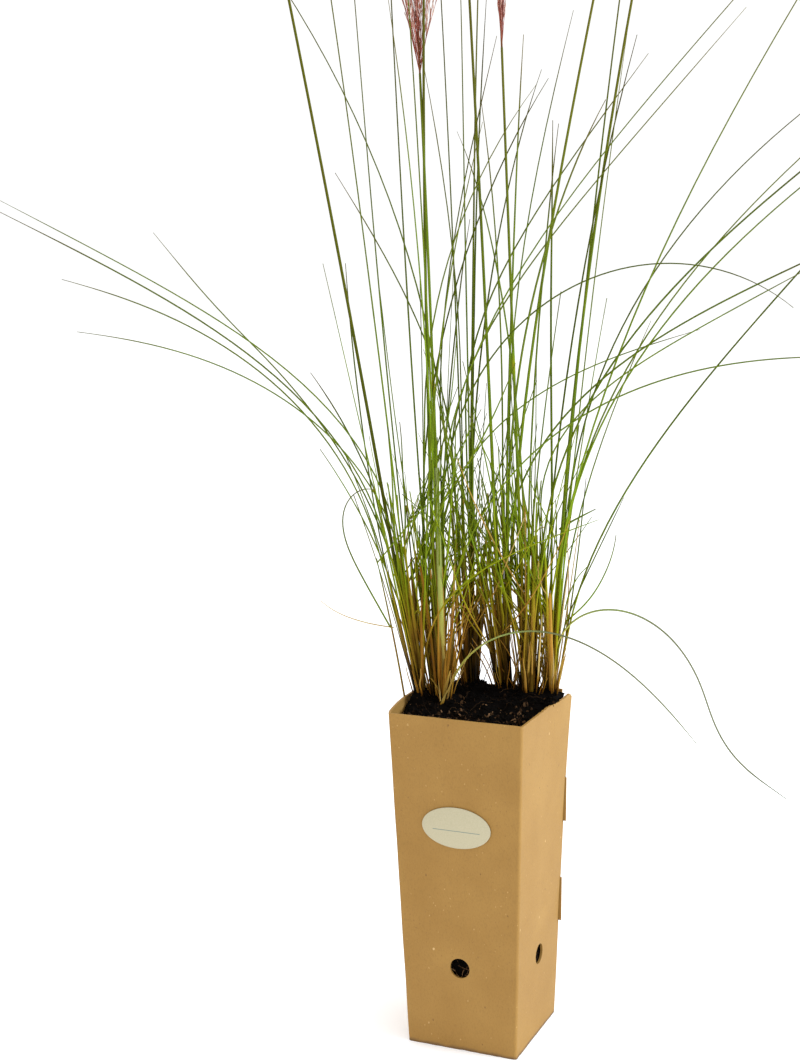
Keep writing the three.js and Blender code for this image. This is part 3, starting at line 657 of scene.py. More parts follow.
def soil_surface(x, y):
    """The soil's top with its relief, drawn up round the foot of each tuft."""
    top = soil_height(x, y) + lumpy(x, y)
    for tuft in TUFTS.values():
        far = ((x - tuft["at"][0]) ** 2 + (y - tuft["at"][1]) ** 2) / tuft["radius"] ** 2
        if far < 3:
            top = max(top, tuft["soil"] + 7.5 * math.exp(-0.8 * far) + 0.7 * lumpy(x, y))
    return top


def soil_place(u, v, z):
    """The place inside the pot at height z that is u of the way to the right and v to the back."""
    front, back = -half_y(z) + BOARD + SOIL_GAP, half_y(z) - BOARD - BACK_INSET - SOIL_GAP
    y = mix(front, back, v)
    right_side = half_x(z) - BOARD - SOIL_GAP
    return mix(-right_side - 0.9 * bow_at(y, z), right_side, u), y


print("the soil is", round(soil_surface(0, 0)), "mm high in the middle")

# %% The block of soil
def soil_mesh():
    """The top as a grid, walls hung from its rim in rows, and one face under them."""
    n = SOIL_CELLS
    verts, faces = [], []
    for j in range(n + 1):
        for i in range(n + 1):
            x, y = soil_place(i / n, j / n, SOIL_LEVEL)
            inside = smoothstep(min(i, j, n - i, n - j) / n, 0, 0.03)
            z = mix(soil_height(x, y) - 1.2, soil_surface(x, y), inside)
            x, y = soil_place(i / n, j / n, z)
            verts.append((x, y, z))
    ring = [j * (n + 1) + i for i, j in (
        [(i, 0) for i in range(n)] + [(n, j) for j in range(n)]
        + [(i, n) for i in range(n, 0, -1)] + [(0, j) for j in range(n, 0, -1)])]
    for j in range(n):
        for i in range(n):
            a = j * (n + 1) + i
            faces.append((a, a + 1, a + n + 2, a + n + 1))
    above = ring
    for row in range(1, SIDE_ROWS + 1):
        below = []
        for k, corner in enumerate(ring):
            i, j = corner % (n + 1), corner // (n + 1)
            z = mix(verts[corner][2], SOIL_FLOOR, row / SIDE_ROWS)
            x, y = soil_place(i / n, j / n, z)
            inwards = (0.8 + lumpy(x, y, z)) / max(abs(x), abs(y)) if row < SIDE_ROWS else 0
            below.append(len(verts))
            verts.append((x * (1 - max(0, inwards)), y * (1 - max(0, inwards)), z))
        for k in range(len(ring)):
            m = (k + 1) % len(ring)
            faces.append((above[m], above[k], below[k], below[m]))
        above = below
    faces.append(above[::-1])
    mesh = bpy.data.meshes.new("potting_soil")
    mesh.from_pydata([(x * MM, y * MM, z * MM) for x, y, z in verts], [], faces)
    mesh.shade_smooth()
    return mesh


soil_block = new_object("potting_soil", soil_mesh())
print("soil closed:", closed_and_outward(soil_block.data), len(soil_block.data.polygons), "faces")

# %% [markdown]
# ## The soil's finish
# Damp peat is dark and matt, and only its crumbs catch light. One material serves the block and
# everything that lies on it: each crumb, chip or root carries a number from 0, wet peat, to 1,
# dry pale bark, and a colour ramp turns that number into its colour.

# %% Soil material
GRIT, WET_PEAT = 1.6, 0.12               # mm, and the block's own dryness

soil_stuff, tree, surface = new_material("damp_peat_and_bark", 1.4, 0.95)
surface.inputs["Specular IOR Level"].default_value = 0.06
place = add_node(tree, "ShaderNodeTexCoord").outputs["Object"]
dryness = add_node(tree, "ShaderNodeAttribute", {"attribute_name": "dryness"})
grit = add_node(tree, "ShaderNodeTexNoise", {"Scale": per_metre(GRIT), "Detail": 5.0, "Roughness": 0.7},
                {"Vector": place})
patchy = add_node(tree, "ShaderNodeMath", {"operation": "MULTIPLY_ADD", 1: 0.3, 2: -0.14},
                  {0: grit.outputs["Fac"]})
shade = add_node(tree, "ShaderNodeMath", {"operation": "ADD", "use_clamp": True},
                 {0: dryness.outputs["Fac"], 1: patchy.outputs["Value"]})
earth = add_node(tree, "ShaderNodeValToRGB", {"stops": [
    (0.0, "#040302"), (0.3, "#0b0705"), (0.5, "#24170d"), (0.7, "#4d3723"), (0.88, "#866547"),
    (1.0, "#bda27c")]}, {"Fac": shade.outputs["Value"]})
tree.links.new(earth.outputs["Color"], surface.inputs["Base Color"])
relief = add_node(tree, "ShaderNodeBump", {"Strength": 0.6, "Distance": 0.0005},
                  {"Height": grit.outputs["Fac"]})
tree.links.new(relief.outputs["Normal"], surface.inputs["Normal"])


def paint_points(mesh, name, values):
    """Gives every point of a mesh a number, for its material to read."""
    layer = mesh.attributes.new(name, "FLOAT", "POINT")
    layer.data.foreach_set("value", np.asarray(values, np.float32))


paint_points(soil_block.data, "dryness", [WET_PEAT] * len(soil_block.data.vertices))
soil_block.data.materials.append(soil_stuff)
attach(soil_block, BODY)
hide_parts("soil")
print("soil finished")

# %% [markdown]
# ## Strands
# Leaves, stems, roots and panicle branches are all long thin bodies, so one builder makes them:
# it sweeps a small closed section along a line of points and narrows it to the tip. Curves with
# a bevel would sweep too, but they can't fold a leaf along its midrib or give each point of it
# a number for its ripeness, which the materials need.

# %% The strand builder
# Sections from -1 to 1 in both directions: for stems, for hair-thin strands and for leaves.
ROUND = [(math.cos(a), math.sin(a)) for a in np.linspace(0, 2 * math.pi, 9)[:-1]]
FINE = [(-1, 0), (0, -1), (1, 0), (0, 1)]
FOLDED = [(-1, 0.75), (-0.5, -0.2), (0, -1), (0.5, -0.2), (1, 0.75), (0, 0.15)]


def new_bundle():
    """An empty mesh in the making. Finish is a face's material; ripe and grain are per point."""
    return {"points": [], "faces": [], "finish": [], "ripe": [], "grain": []}


def add_strand(bundle, line, widths, depths, section, side, ripe, finish=0, seed=0.0, roll=0.0):
    """Sweeps a section along a line. Widths, depths and ripeness are given at every point."""
    line = np.asarray(line, float)
    count, corners = len(line), len(section)
    ahead = np.gradient(line, axis=0)
    ahead /= np.linalg.norm(ahead, axis=1)[:, None]
    across = np.array(side, float)
    start = len(bundle["points"])
    arc = 0.0
    for i in range(count):
        across = across - ahead[i] * across.dot(ahead[i])
        across /= np.linalg.norm(across)
        out = np.cross(ahead[i], across)
        angle = roll * i / (count - 1)
        a = across * math.cos(angle) + out * math.sin(angle)
        b = out * math.cos(angle) - across * math.sin(angle)
        arc += np.linalg.norm(line[i] - line[i - 1]) if i else 0
        for u, v in section:
            bundle["points"].append(line[i] + a * (u * widths[i] / 2) + b * (v * depths[i] / 2))
            bundle["grain"].append((u * widths[i] / 2, arc, seed))
            bundle["ripe"].append(ripe[i])
    for i in range(count - 1):
        for k in range(corners):
            m = (k + 1) % corners
            low = start + i * corners
            bundle["faces"].append((low + k, low + m, low + corners + m, low + corners + k))
    bundle["faces"].append(tuple(start + k for k in reversed(range(corners))))
    bundle["faces"].append(tuple(start + (count - 1) * corners + k for k in range(corners)))
    bundle["finish"] += [finish] * ((count - 1) * corners + 2)


def bundle_piece(name, bundle, materials):
    """One mesh object from a bundle of strands."""
    mesh = bpy.data.meshes.new(name)
    mesh.from_pydata(np.array(bundle["points"]) * MM, [], bundle["faces"])
    mesh.polygons.foreach_set("material_index", bundle["finish"])
    mesh.shade_smooth()
    paint_points(mesh, "ripe", bundle["ripe"])
    grain = mesh.attributes.new("grain", "FLOAT_VECTOR", "POINT")
    grain.data.foreach_set("vector", np.asarray(bundle["grain"], np.float32).ravel())
    for material in materials:
        mesh.materials.append(material)
    return new_object(name, mesh)


print("sections of", len(FOLDED), len(ROUND), "and", len(FINE), "corners")

# %% [markdown]
# ## Crumbs, bark and roots
# What makes soil look like soil is what lies loose on it. Crumbs are small spheres knocked out
# of round; bark chips are the same, flattened and stretched; hair roots are strands that wander.
# They are scattered by a simple repeatable rule, so that every run gives the same soil.

# %% A repeatable draw, and places to scatter to
FULL_CIRCLE = 6.3                        # radians, enough for any direction


def draw_from(seed):
    """A repeatable source of numbers between low and high: the next is always worked out from
    the last by the same sum, as in a linear congruential generator."""
    state = seed & 0xFFFFFFFF

    def draw(low=0.0, high=1.0):
        nonlocal state
        state = (state * 1664525 + 1013904223) & 0xFFFFFFFF
        return low + (high - low) * state / 4294967296

    return draw


def around(at, out, angle):
    """The place that lies this far out from another, in this direction."""
    return at[0] + out * math.cos(angle), at[1] + out * math.sin(angle)


def beside_hole(quarter, reach, aside):
    """The place this far out from the pot's middle at a drain hole, and this far aside of it."""
    angle = quarter * math.pi / 2
    return (reach * math.cos(angle) - aside * math.sin(angle),
            reach * math.sin(angle) + aside * math.cos(angle))


print("the first draw is", round(draw_from(91)(), 3))

# %% Lumps of earth
ball = bmesh.new()
bmesh.ops.create_icosphere(ball, subdivisions=1, radius=1)
BALL_POINTS = [v.co.copy() for v in ball.verts]
BALL_FACES = [[v.index for v in f.verts] for f in ball.faces]
ball.free()
loose = {"points": [], "faces": [], "dryness": []}


def add_lump(at, size, squash, dryness, draw):
    """A knocked-about lump of that size, squashed by three factors."""
    spin = Euler([draw(0, FULL_CIRCLE) for _ in range(3)]).to_matrix()
    shift = Vector([draw(0, 90) for _ in range(3)])
    start = len(loose["points"])
    for p in BALL_POINTS:
        knocked = p * (1 + 0.55 * noise.noise(p * 1.3 + shift))
        knocked = spin @ Vector((knocked.x * squash[0], knocked.y * squash[1], knocked.z * squash[2]))
        loose["points"].append(tuple(Vector(at) + knocked * size))
        loose["dryness"].append(dryness)
    loose["faces"] += [[start + i for i in f] for f in BALL_FACES]


print("a lump has", len(BALL_FACES), "faces")

# %% Scatter the loose soil
CRUMBS, PALE_CHIPS, RIM_CLUMP, HOLE_LUMPS = 1150, 85, 90, 46
CLINGING = 11                            # mm that the earth rises between the feet
ROUND_CRUMB, BARK_CHIP = (1, 0.8, 0.65), (1.7, 0.8, 0.3)
draw = draw_from(91)
for i in range(CRUMBS):
    x, y = soil_place(draw(0.02, 0.98), draw(0.02, 0.98), SOIL_LEVEL)
    size = 0.35 + 1.25 * draw() ** 2.6
    kind = draw()
    dry = 0.08 + 0.7 * draw() ** 2.5
    if y > 5 and kind < 0.8:             # the soil is damper among the tufts
        dry *= 0.7
    add_lump((x, y, soil_surface(x, y) + 0.2 * size), size,
             ROUND_CRUMB if kind < 0.8 else BARK_CHIP, dry, draw)
for i in range(PALE_CHIPS):              # most of them along the front
    x, y = soil_place(draw(0.05, 0.97), draw(0.03, 0.55), SOIL_LEVEL)
    add_lump((x, y, soil_surface(x, y) + 0.5), 0.45 + 0.9 * draw() ** 2, (1.7, 0.9, 0.5),
             draw(0.4, 0.85), draw)
for i in range(RIM_CLUMP):               # earth pushed up on the right rim, near the back
    along, over = draw(-1, 1), draw(-1, 1)
    heap = 2.4 * (1 - along * along) * draw() - 1.2 * max(0, over) ** 2
    add_lump((41.9 + 1.9 * over, 16 + 7 * along, 215.6 + heap), draw(0.5, 1.2), (1, 0.9, 0.7),
             0.08 + 0.4 * draw() ** 3, draw)
draw = draw_from(733)
for tuft in TUFTS.values():              # earth that clings between the feet of each tuft
    reach = 1.15 * tuft["radius"]
    for i in range(int(0.8 * reach * reach)):
        out, angle = reach * math.sqrt(draw()), draw(0, FULL_CIRCLE)
        heap = CLINGING * (1 - out / reach) + 1.5
        add_lump((*around(tuft["at"], out, angle), tuft["soil"] + heap * draw()),
                 draw(0.8, 1.7), (1, 0.85, 0.75), 0.04 + 0.35 * draw() ** 4, draw)
for quarter in range(4):                 # what shows through the drain holes
    for i in range(HOLE_LUMPS):
        reach = wall_at_hole(quarter) - BOARD - draw(1.4, 2.6)
        aside, lift = draw(-7.5, 7.5), draw(-7.5, 7.5)
        add_lump((*beside_hole(quarter, reach, aside), HOLE["height"] + lift), draw(0.5, 1.3),
                 (1, 0.9, 0.8), 0.05 + 0.5 * draw() ** 3, draw)
loose_mesh = bpy.data.meshes.new("soil_crumbs")
loose_mesh.from_pydata([tuple(c * MM for c in p) for p in loose["points"]], [], loose["faces"])
paint_points(loose_mesh, "dryness", loose["dryness"])
crumbs = new_object("soil_crumbs", loose_mesh)
crumbs.data.materials.append(soil_stuff)
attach(crumbs, BODY)
print("loose soil", len(loose["faces"]), "faces")

# %% [markdown]
# ## Hair roots
# Fine pale roots and threads of peat lie across the crumbs and show behind the drain holes.
# Each is a strand along a line that wanders a little at every step, which looks grown, where a
# smooth curve between two points would look laid. They share the soil's material.

# %% Hair roots
HAIR_ROOTS, HOLE_ROOTS, ROOT_STEPS = 84, 9, 12


def wandering(start, heading, length, steps, draw, droop=0.0, stray=0.5):
    """A line of points that wanders from its start, settling downwards if it droops."""
    heading = Vector(heading).normalized()
    point, line = Vector(start), [Vector(start)]
    for _ in range(steps):
        step_aside = Vector((draw(-stray, stray), draw(-stray, stray), draw(-stray, stray) - droop))
        heading = (heading + step_aside).normalized()
        point = point + heading * (length / steps)
        line.append(point.copy())
    return [tuple(p) for p in line]


roots = new_bundle()
draw = draw_from(407)
for i in range(HAIR_ROOTS):
    x, y = soil_place(draw(0.04, 0.96), draw(0.03, 0.9) ** 1.4, SOIL_LEVEL)
    line = wandering((x, y, 0), (draw(-1, 1), draw(-1, 1), 0), draw(6, 22), ROOT_STEPS, draw, stray=0.4)
    line = [(a, b, soil_surface(a, b) + 0.4 + 1.6 * math.sin(math.pi * k / ROOT_STEPS) * draw(0.3, 1))
            for k, (a, b, _) in enumerate(line) if abs(a) < 38 and abs(b) < 40]
    if len(line) > 4:                    # what is left of it once it stays inside the pot
        thick = draw(0.12, 0.24)
        add_strand(roots, line, [thick] * len(line), [thick] * len(line), FINE, (0, 0, 1),
                   [draw(0.3, 0.72)] * len(line), seed=i)
for quarter in range(4):
    for i in range(HOLE_ROOTS):
        flat = wandering((0, draw(-6, 6), draw(-6, 6)), (0, draw(-1, 1), draw(-1, 1)), draw(8, 15),
                         ROOT_STEPS, draw, stray=0.35)
        line = [(*beside_hole(quarter, wall_at_hole(quarter) - BOARD - 0.9 - 0.3 * abs(inward), aside),
                 HOLE["height"] + lift) for inward, aside, lift in flat]
        thick = [0.32] * len(line)
        add_strand(roots, line, thick, thick, FINE, (0, 0, 1), [draw(0.5, 0.9)] * len(line), seed=i)
root_piece = bundle_piece("hair_roots", roots, [soil_stuff])
paint_points(root_piece.data, "dryness", roots["ripe"])
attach(root_piece, BODY)
print("roots", len(roots["faces"]), "faces")

# %% [markdown]
# ## How the grass grows
# Every culm and leaf is an arc that leans over as it rises. The CAD source grows them by a rule
# with a repeatable draw, so the same rule is written out here and gives the same arcs, and the
# fine blades lie on the CAD's. A row says: azimuth, lean at the foot, height of the straight
# foot, lean at the tip, how early it bends (under 1 is early) and length; a few leaves add how far
# the tip turns up again, and a culm adds its panicle and how far that has opened.

# %% Rows for the culms and the long leaves
LONG_LEAVES = {
    "left": [(180, 15, 10, 3, 1, 278), (240, 6, 40, 10, 1, 520), (150, 9, 40, 6, 1, 500),
             (20, 1, 60, -1, 1, 271), (30, 1, 180, 38, 1, 395), (340, 4, 25, 68, 0.33, 205),
             (200, 7, 102, 62, 0.33, 439), (230, 12, 98, 63, 0.43, 420), (190, 14, 99, 75, 0.67, 381),
             (215, 6, 73, 81, 0.71, 349), (170, 10, 60, 42, 1, 224), (200, 14, 10, 9, 1, 95),
             (170, 10, 52, 58, 0.5, 375, 12)],
    "front": [(160, 11, 60, 8, 1, 283), (230, 1, 90, 6, 1, 540), (200, 4, 60, 2, 0.5, 560),
              (20, 0, 190, 14, 0.5, 415), (20, 0, 125, 42, 0.33, 540), (10, 0, 105, 130, 1.3, 430),
              (22, 0, 100, 74, 0.5, 325), (0, 2, 41, 90, 0.7, 387), (350, 10, 3, 135, 0.58, 216)],
    "middle": [(190, 4, 150, 40, 0.9, 560), (200, 1, 60, 3, 1, 520), (230, 1, 200, 12, 0.8, 395),
               (80, 1, 60, 4, 1, 520), (220, 3, 150, 32, 0.5, 345), (10, -5, 142, 42, 0.25, 480),
               (20, -1, 178, 37, 0.35, 429)],
    "centre": [(200, 0, 150, 8, 1.5, 375), (40, 1, 180, 15, 0.6, 430), (350, 0, 85, 66, 0.4, 400)],
    "right": [(180, 1, 190, 38, 0.4, 425), (20, 5, 120, 15, 1, 415), (0, 9, 60, 33, 0.6, 540),
              (350, 4, 90, 54, 0.5, 430)],
    "corner": [(240, 0, 150, 5, 1, 345), (60, 5, 60, 11, 1, 520), (15, 5, 80, 8, 1, 415),
               (40, 5, 120, 56, 0.7, 460), (350, 4, 80, 50, 0.6, 440), (343, 4, 80, 54, 0.6, 430),
               (60, 8, 60, 32, 0.6, 255), (0, -4, 121, 64, 0.25, 379), (15, 11, 46, 41, 0.36, 358),
               (20, 10, 19, 5, 0.9, 144), (15, 5, 27, 25, 0.2, 139),
               (4, 4, 30, 176, 0.4, 247, 53)],
}
CULMS = {
    "left": [(215, 9, 60, 11, 1, 560, 0, 0)],
    "front": [(335, -1.6, 60, -3.2, 1, 391, 210, 1), (150, 3, 60, -2, 1, 480, 200, 1.6)],
    "middle": [],
    "centre": [(200, 2, 60, 3, 1, 500, 0, 0), (0, 2, 60, 12, 0.5, 465, 200, 1.7)],
    "right": [(210, 2, 60, 2, 1, 404, 170, 0.4)],
    "corner": [(30, 3, 60, 11, 0.8, 490, 190, 1.6)],
}
# How many sheaths, clipped leaves and stray long leaves fill each tuft.
FILL = {"left": (8, 7, 2), "front": (13, 12, 2), "middle": (9, 8, 3), "centre": (10, 8, 2),
        "right": (12, 12, 2), "corner": (6, 6, 1)}
# Sizes of each kind in mm, and in degrees how far it fans out and strays.
SHEATH = {"kind": "sheath", "width": 3.2, "depth": 2.2, "tip": 1.4, "length": (50, 110), "fan": 5,
          "stray": 3}
CLIPPED = {"kind": "clipped", "width": 2.2, "depth": 1.2, "tip": 1.3, "length": (85, 145), "fan": 6,
           "stray": 4}
LEAF = {"kind": "leaf", "width": 1.4, "depth": 1.0, "tip": 0.8}
CULM = {"kind": "culm", "width": 2.0, "depth": 2.0, "tip": 1.4}
WILD = {"length": (300, 470), "lean": (0, 6), "bend": (10, 60), "towards": ((70, 140), (250, 320))}
PANICLE = {"rachis": 1.2, "tip": 0.7, "branches": 16, "thick": 0.8, "lean": (9, 15), "reach": (34, 64)}
CROWN_DOME, ROOTED, GOLDEN_ANGLE = 4, 6, 137.5
# Turns to try, their size in degrees, the gap to keep in mm, and steps to each CAD segment.
TURNS, TURN_STEP, PASS_GAP, SUBSTEPS = 24, 3.5, 0.45, 6
MOST_STRETCHES = 6000
print(sum(map(len, LONG_LEAVES.values())), "long leaves and", sum(map(len, CULMS.values())), "culms")

# %% [markdown]
# ## One blade's arc, and its neighbours
# A blade is stepped along its arc with its lean taken at each step's middle. It has to pass the
# blades of other tufts, so it is turned a few degrees at a time until it does. NumPy measures one
# stretch against all the others at once, which is what makes the search quick.

# %% Arcs
def lean_at(blade, arc):
    """How far a blade leans, in radians, this far along its arc."""
    t = max(0, (arc - blade["rise"]) / (blade["length"] - blade["rise"]))
    power = blade["power"]
    share = 1 - (1 - t) ** (1 / power) if power < 1 else t ** power
    back = blade.get("upturn", 0) * smoothstep(t, 0.6, 0.95)
    return math.radians(mix(blade["lean"], blade["bend"], share) - back)


def arc_of(blade):
    """All the points of a blade's arc."""
    steps = blade["segments"] * SUBSTEPS
    step = blade["length"] / steps
    cx, cy = math.cos(math.radians(blade["azimuth"])), math.sin(math.radians(blade["azimuth"]))
    x, y, z = blade["foot"]
    points = [(x, y, z)]
    for i in range(1, steps + 1):
        lean = lean_at(blade, (i - 0.5) * step)
        x += step * math.sin(lean) * cx
        y += step * math.sin(lean) * cy
        z += step * math.cos(lean)
        points.append((x, y, z))
    return points


def width_at(blade, t):
    """A blade's width at share t of its length."""
    return mix(blade["width"], blade["tip"], t)


print("a blade is stepped", SUBSTEPS, "times to a segment")

# %% Passing and settling
grown, groups = [], {}
stretches = {"a": np.zeros((MOST_STRETCHES, 3)), "b": np.zeros((MOST_STRETCHES, 3)),
             "half": np.zeros(MOST_STRETCHES), "group": np.zeros(MOST_STRETCHES, int), "count": 0}


def passes(blade, line):
    """Whether a blade's line keeps its distance from every stretch of the other groups' blades.
    For each of its own stretches, s and t are the shares along both where they are closest."""
    n = stretches["count"]
    p_all, q_all = stretches["a"][:n], stretches["b"][:n]
    others = stretches["group"][:n] != groups[blade["group"]]
    for i in range(len(line) - 1):
        p, p2 = np.array(line[i]), np.array(line[i + 1])
        need = width_at(blade, i / (len(line) - 1)) / 2 + stretches["half"][:n] + PASS_GAP
        low, high = np.minimum(p_all[:, 2], q_all[:, 2]), np.maximum(p_all[:, 2], q_all[:, 2])
        near = others & (min(p[2], p2[2]) - high <= need) & (low - max(p[2], p2[2]) <= need)
        if not near.any():
            continue
        d1, d2, r = p2 - p, q_all[near] - p_all[near], p - p_all[near]
        a, e, f, c, b = d1.dot(d1), (d2 * d2).sum(1), (d2 * r).sum(1), r.dot(d1), d2.dot(d1)
        flat = a * e - b * b
        s = np.where(flat > 1e-9, np.clip((b * f - c * e) / np.where(flat > 1e-9, flat, 1), 0, 1), 0)
        t = (b * s + f) / e
        s = np.where(t < 0, np.clip(-c / a, 0, 1), np.where(t > 1, np.clip((b - c) / a, 0, 1), s))
        t = np.clip(t, 0, 1)
        gap = np.linalg.norm(r + d1 * s[:, None] - d2 * t[:, None], axis=1)
        if (gap < need[near]).any():
            return False
    return True


def plant_blade(blade, arc):
    """Adds a blade that has found its place."""
    blade["arc"], blade["line"] = arc, arc[::SUBSTEPS]
    line = blade["line"]
    for i in range(len(line) - 1):
        k = stretches["count"]
        stretches["a"][k], stretches["b"][k] = line[i], line[i + 1]
        stretches["half"][k] = width_at(blade, i / (len(line) - 1)) / 2
        stretches["group"][k] = groups[blade["group"]]
        stretches["count"] += 1
    grown.append(blade)


def settle(blade):
    """Turns a blade until it passes its neighbours. One that can't is left out."""
    groups.setdefault(blade["group"], len(groups))
    azimuth = blade["azimuth"]
    for k in range(TURNS):
        blade["azimuth"] = azimuth + TURN_STEP * math.ceil(k / 2) * (1 if k % 2 else -1)
        arc = arc_of(blade)
        if passes(blade, arc[::SUBSTEPS]):
            plant_blade(blade, arc)
            return


print("settling by turns of", TURN_STEP, "degrees")

# %% [markdown]
# ## Growing it all
# The tall culms take their places first, then their panicles, then the long leaves and last the
# short fill, which is spread over each crown by the golden angle, as a plant spreads its leaves.
# What comes first is turned least. The order matters for another reason too: the repeatable
# draw has to give each blade the numbers that it has in the CAD source.

# %% Rules for one blade
def crown_foot(tuft, out, angle):
    """Where a blade starts: this far out on the tuft's crown, and sunk into it."""
    return (*around(tuft["at"], out, angle), tuft["soil"] + CROWN_DOME - ROOTED)


def long_blade(group, row, size, draw):
    """A culm or a long leaf from its row."""
    azimuth, lean, rise, bend, power, length = row[:6]
    tuft = TUFTS[group]
    out = tuft["radius"] * min(0.8, 0.2 + abs(lean) / 14) * draw(0.6, 1)
    angle = math.radians(azimuth + draw(-50, 50))
    return {"group": group, "azimuth": azimuth, "lean": lean, "rise": rise, "bend": bend, "power": power,
            "length": length, "foot": crown_foot(tuft, out, angle),
            "segments": 2 + math.ceil(abs(bend - lean) / 14), **size}


def filler(group, size, i, count, draw):
    """Number i of the sheaths or clipped leaves that fill a tuft; the outer ones fan out more."""
    tuft = TUFTS[group]
    spread = math.sqrt((i + 0.5) / count)
    side = math.radians(i * GOLDEN_ANGLE + draw(-15, 15))
    foot = crown_foot(tuft, 0.9 * (tuft["radius"] - size["width"] / 2) * spread, side)
    fan = size["fan"] * spread * draw(0.4, 1.1)
    lean_x = tuft["lean"][0] + fan * math.cos(side) + draw(-size["stray"], size["stray"])
    lean_y = tuft["lean"][1] + fan * math.sin(side) + draw(-size["stray"], size["stray"])
    lean, azimuth = math.hypot(lean_x, lean_y), math.degrees(math.atan2(lean_y, lean_x))
    length = draw(*size["length"])
    bend = lean + draw(-4, 6)
    return {"group": group, "kind": size["kind"], "azimuth": azimuth, "lean": lean, "bend": bend,
            "rise": 0.3 * length, "power": 1, "length": length, "foot": foot, "segments": 2,
            "width": size["width"] * draw(0.6, 1.15), "depth": size["depth"], "tip": size["tip"]}


def grow_rachis(culm):
    """The panicle's own stem, which carries on from the tip of its culm."""
    group = f"panicle_{culm['group']}_{round(culm['length'])}"
    groups.setdefault(group, len(groups))
    openness[group] = culm["open"]
    end, lean, way = culm["line"][-1], math.radians(culm["bend"]), math.radians(culm["azimuth"])
    lift = CLEAR + 0.1
    foot = (end[0] + lift * math.sin(lean) * math.cos(way),
            end[1] + lift * math.sin(lean) * math.sin(way), end[2] + lift * math.cos(lean))
    rachis = {"group": group, "kind": "rachis", "azimuth": culm["azimuth"], "lean": culm["bend"],
              "bend": culm["bend"] + 6, "rise": 0, "power": 1, "length": culm["panicle"],
              "foot": foot, "segments": 3, "width": PANICLE["rachis"], "depth": PANICLE["rachis"],
              "tip": PANICLE["tip"], "seed": round(culm["length"]) * 7 + 3}
    plant_blade(rachis, arc_of(rachis))
    return rachis


def grow_branches(rachis):
    """The main branches, in a spiral up the rachis and shorter towards its tip."""
    draw, group, line = draw_from(rachis["seed"]), rachis["group"], rachis["line"]
    for i in range(PANICLE["branches"]):
        t = 0.02 + 0.9 * i / PANICLE["branches"]
        k = math.floor(t * 3)
        foot = tuple(mix(a, b, t * 3 - k) for a, b in zip(line[k], line[k + 1]))
        length = mix(PANICLE["reach"][1], PANICLE["reach"][0], t) * draw(0.75, 1.1)
        rise = openness[group] * draw(*PANICLE["lean"])
        settle({"group": group, "kind": "branch", "azimuth": i * GOLDEN_ANGLE, "lean": rise,
                "bend": rise + draw(-4, 7), "rise": 0, "power": 1, "length": length, "foot": foot,
                "segments": 1, "width": PANICLE["thick"], "depth": PANICLE["thick"], "tip": 0.6})


openness = {}                            # how far each panicle has opened
print("crowns stand", CROWN_DOME, "mm over the soil")

# %% Grow the culms, panicles, long leaves and fill
draw = draw_from(2026)
for group, rows in CULMS.items():
    for row in rows:
        settle({**long_blade(group, row, CULM, draw), "panicle": row[6], "open": row[7]})
rachises = [grow_rachis(culm) for culm in [blade for blade in grown if blade["panicle"]]]
for rachis in rachises:
    grow_branches(rachis)
for group, rows in LONG_LEAVES.items():
    for row in rows:
        settle({**long_blade(group, row, LEAF, draw), "upturn": row[6] if len(row) > 6 else 0})
for group, (sheaths, clipped, wild) in FILL.items():
    for i in range(sheaths):
        settle(filler(group, SHEATH, i, sheaths, draw))
    for i in range(clipped):
        settle(filler(group, CLIPPED, i + 0.5, clipped, draw))
    for i in range(wild):
        azimuth = draw(*WILD["towards"][i % 2])
        length = draw(*WILD["length"])
        lean = draw(*WILD["lean"])
        settle(long_blade(group, (azimuth, lean, 0.3 * length, draw(*WILD["bend"]), 1, length), LEAF, draw))

# %% [markdown]
# ## Leaf, sheath and stem
# A muhly leaf is a wiry blade, folded along its midrib and often rolled, with a waxy skin over
# fine parallel ribs. It ages from the soil up: near black at the crown, which is partly dead
# bases and partly painted shade among the stems, then brown, straw and olive in the sheaths,
# green above, greyer near the tip. Each point's ripeness goes through one ramp of colours, with
# streaks along the leaf and a chance tone for each strand. The ribs are spaced wider than real
# ones, which are too fine to show.

# %% Grass materials
RIB = 0.35                               # mm between a leaf's ribs
STREAKS = (2.2, 0.06, 7.3)               # per mm across and along a strand, and from one to the next


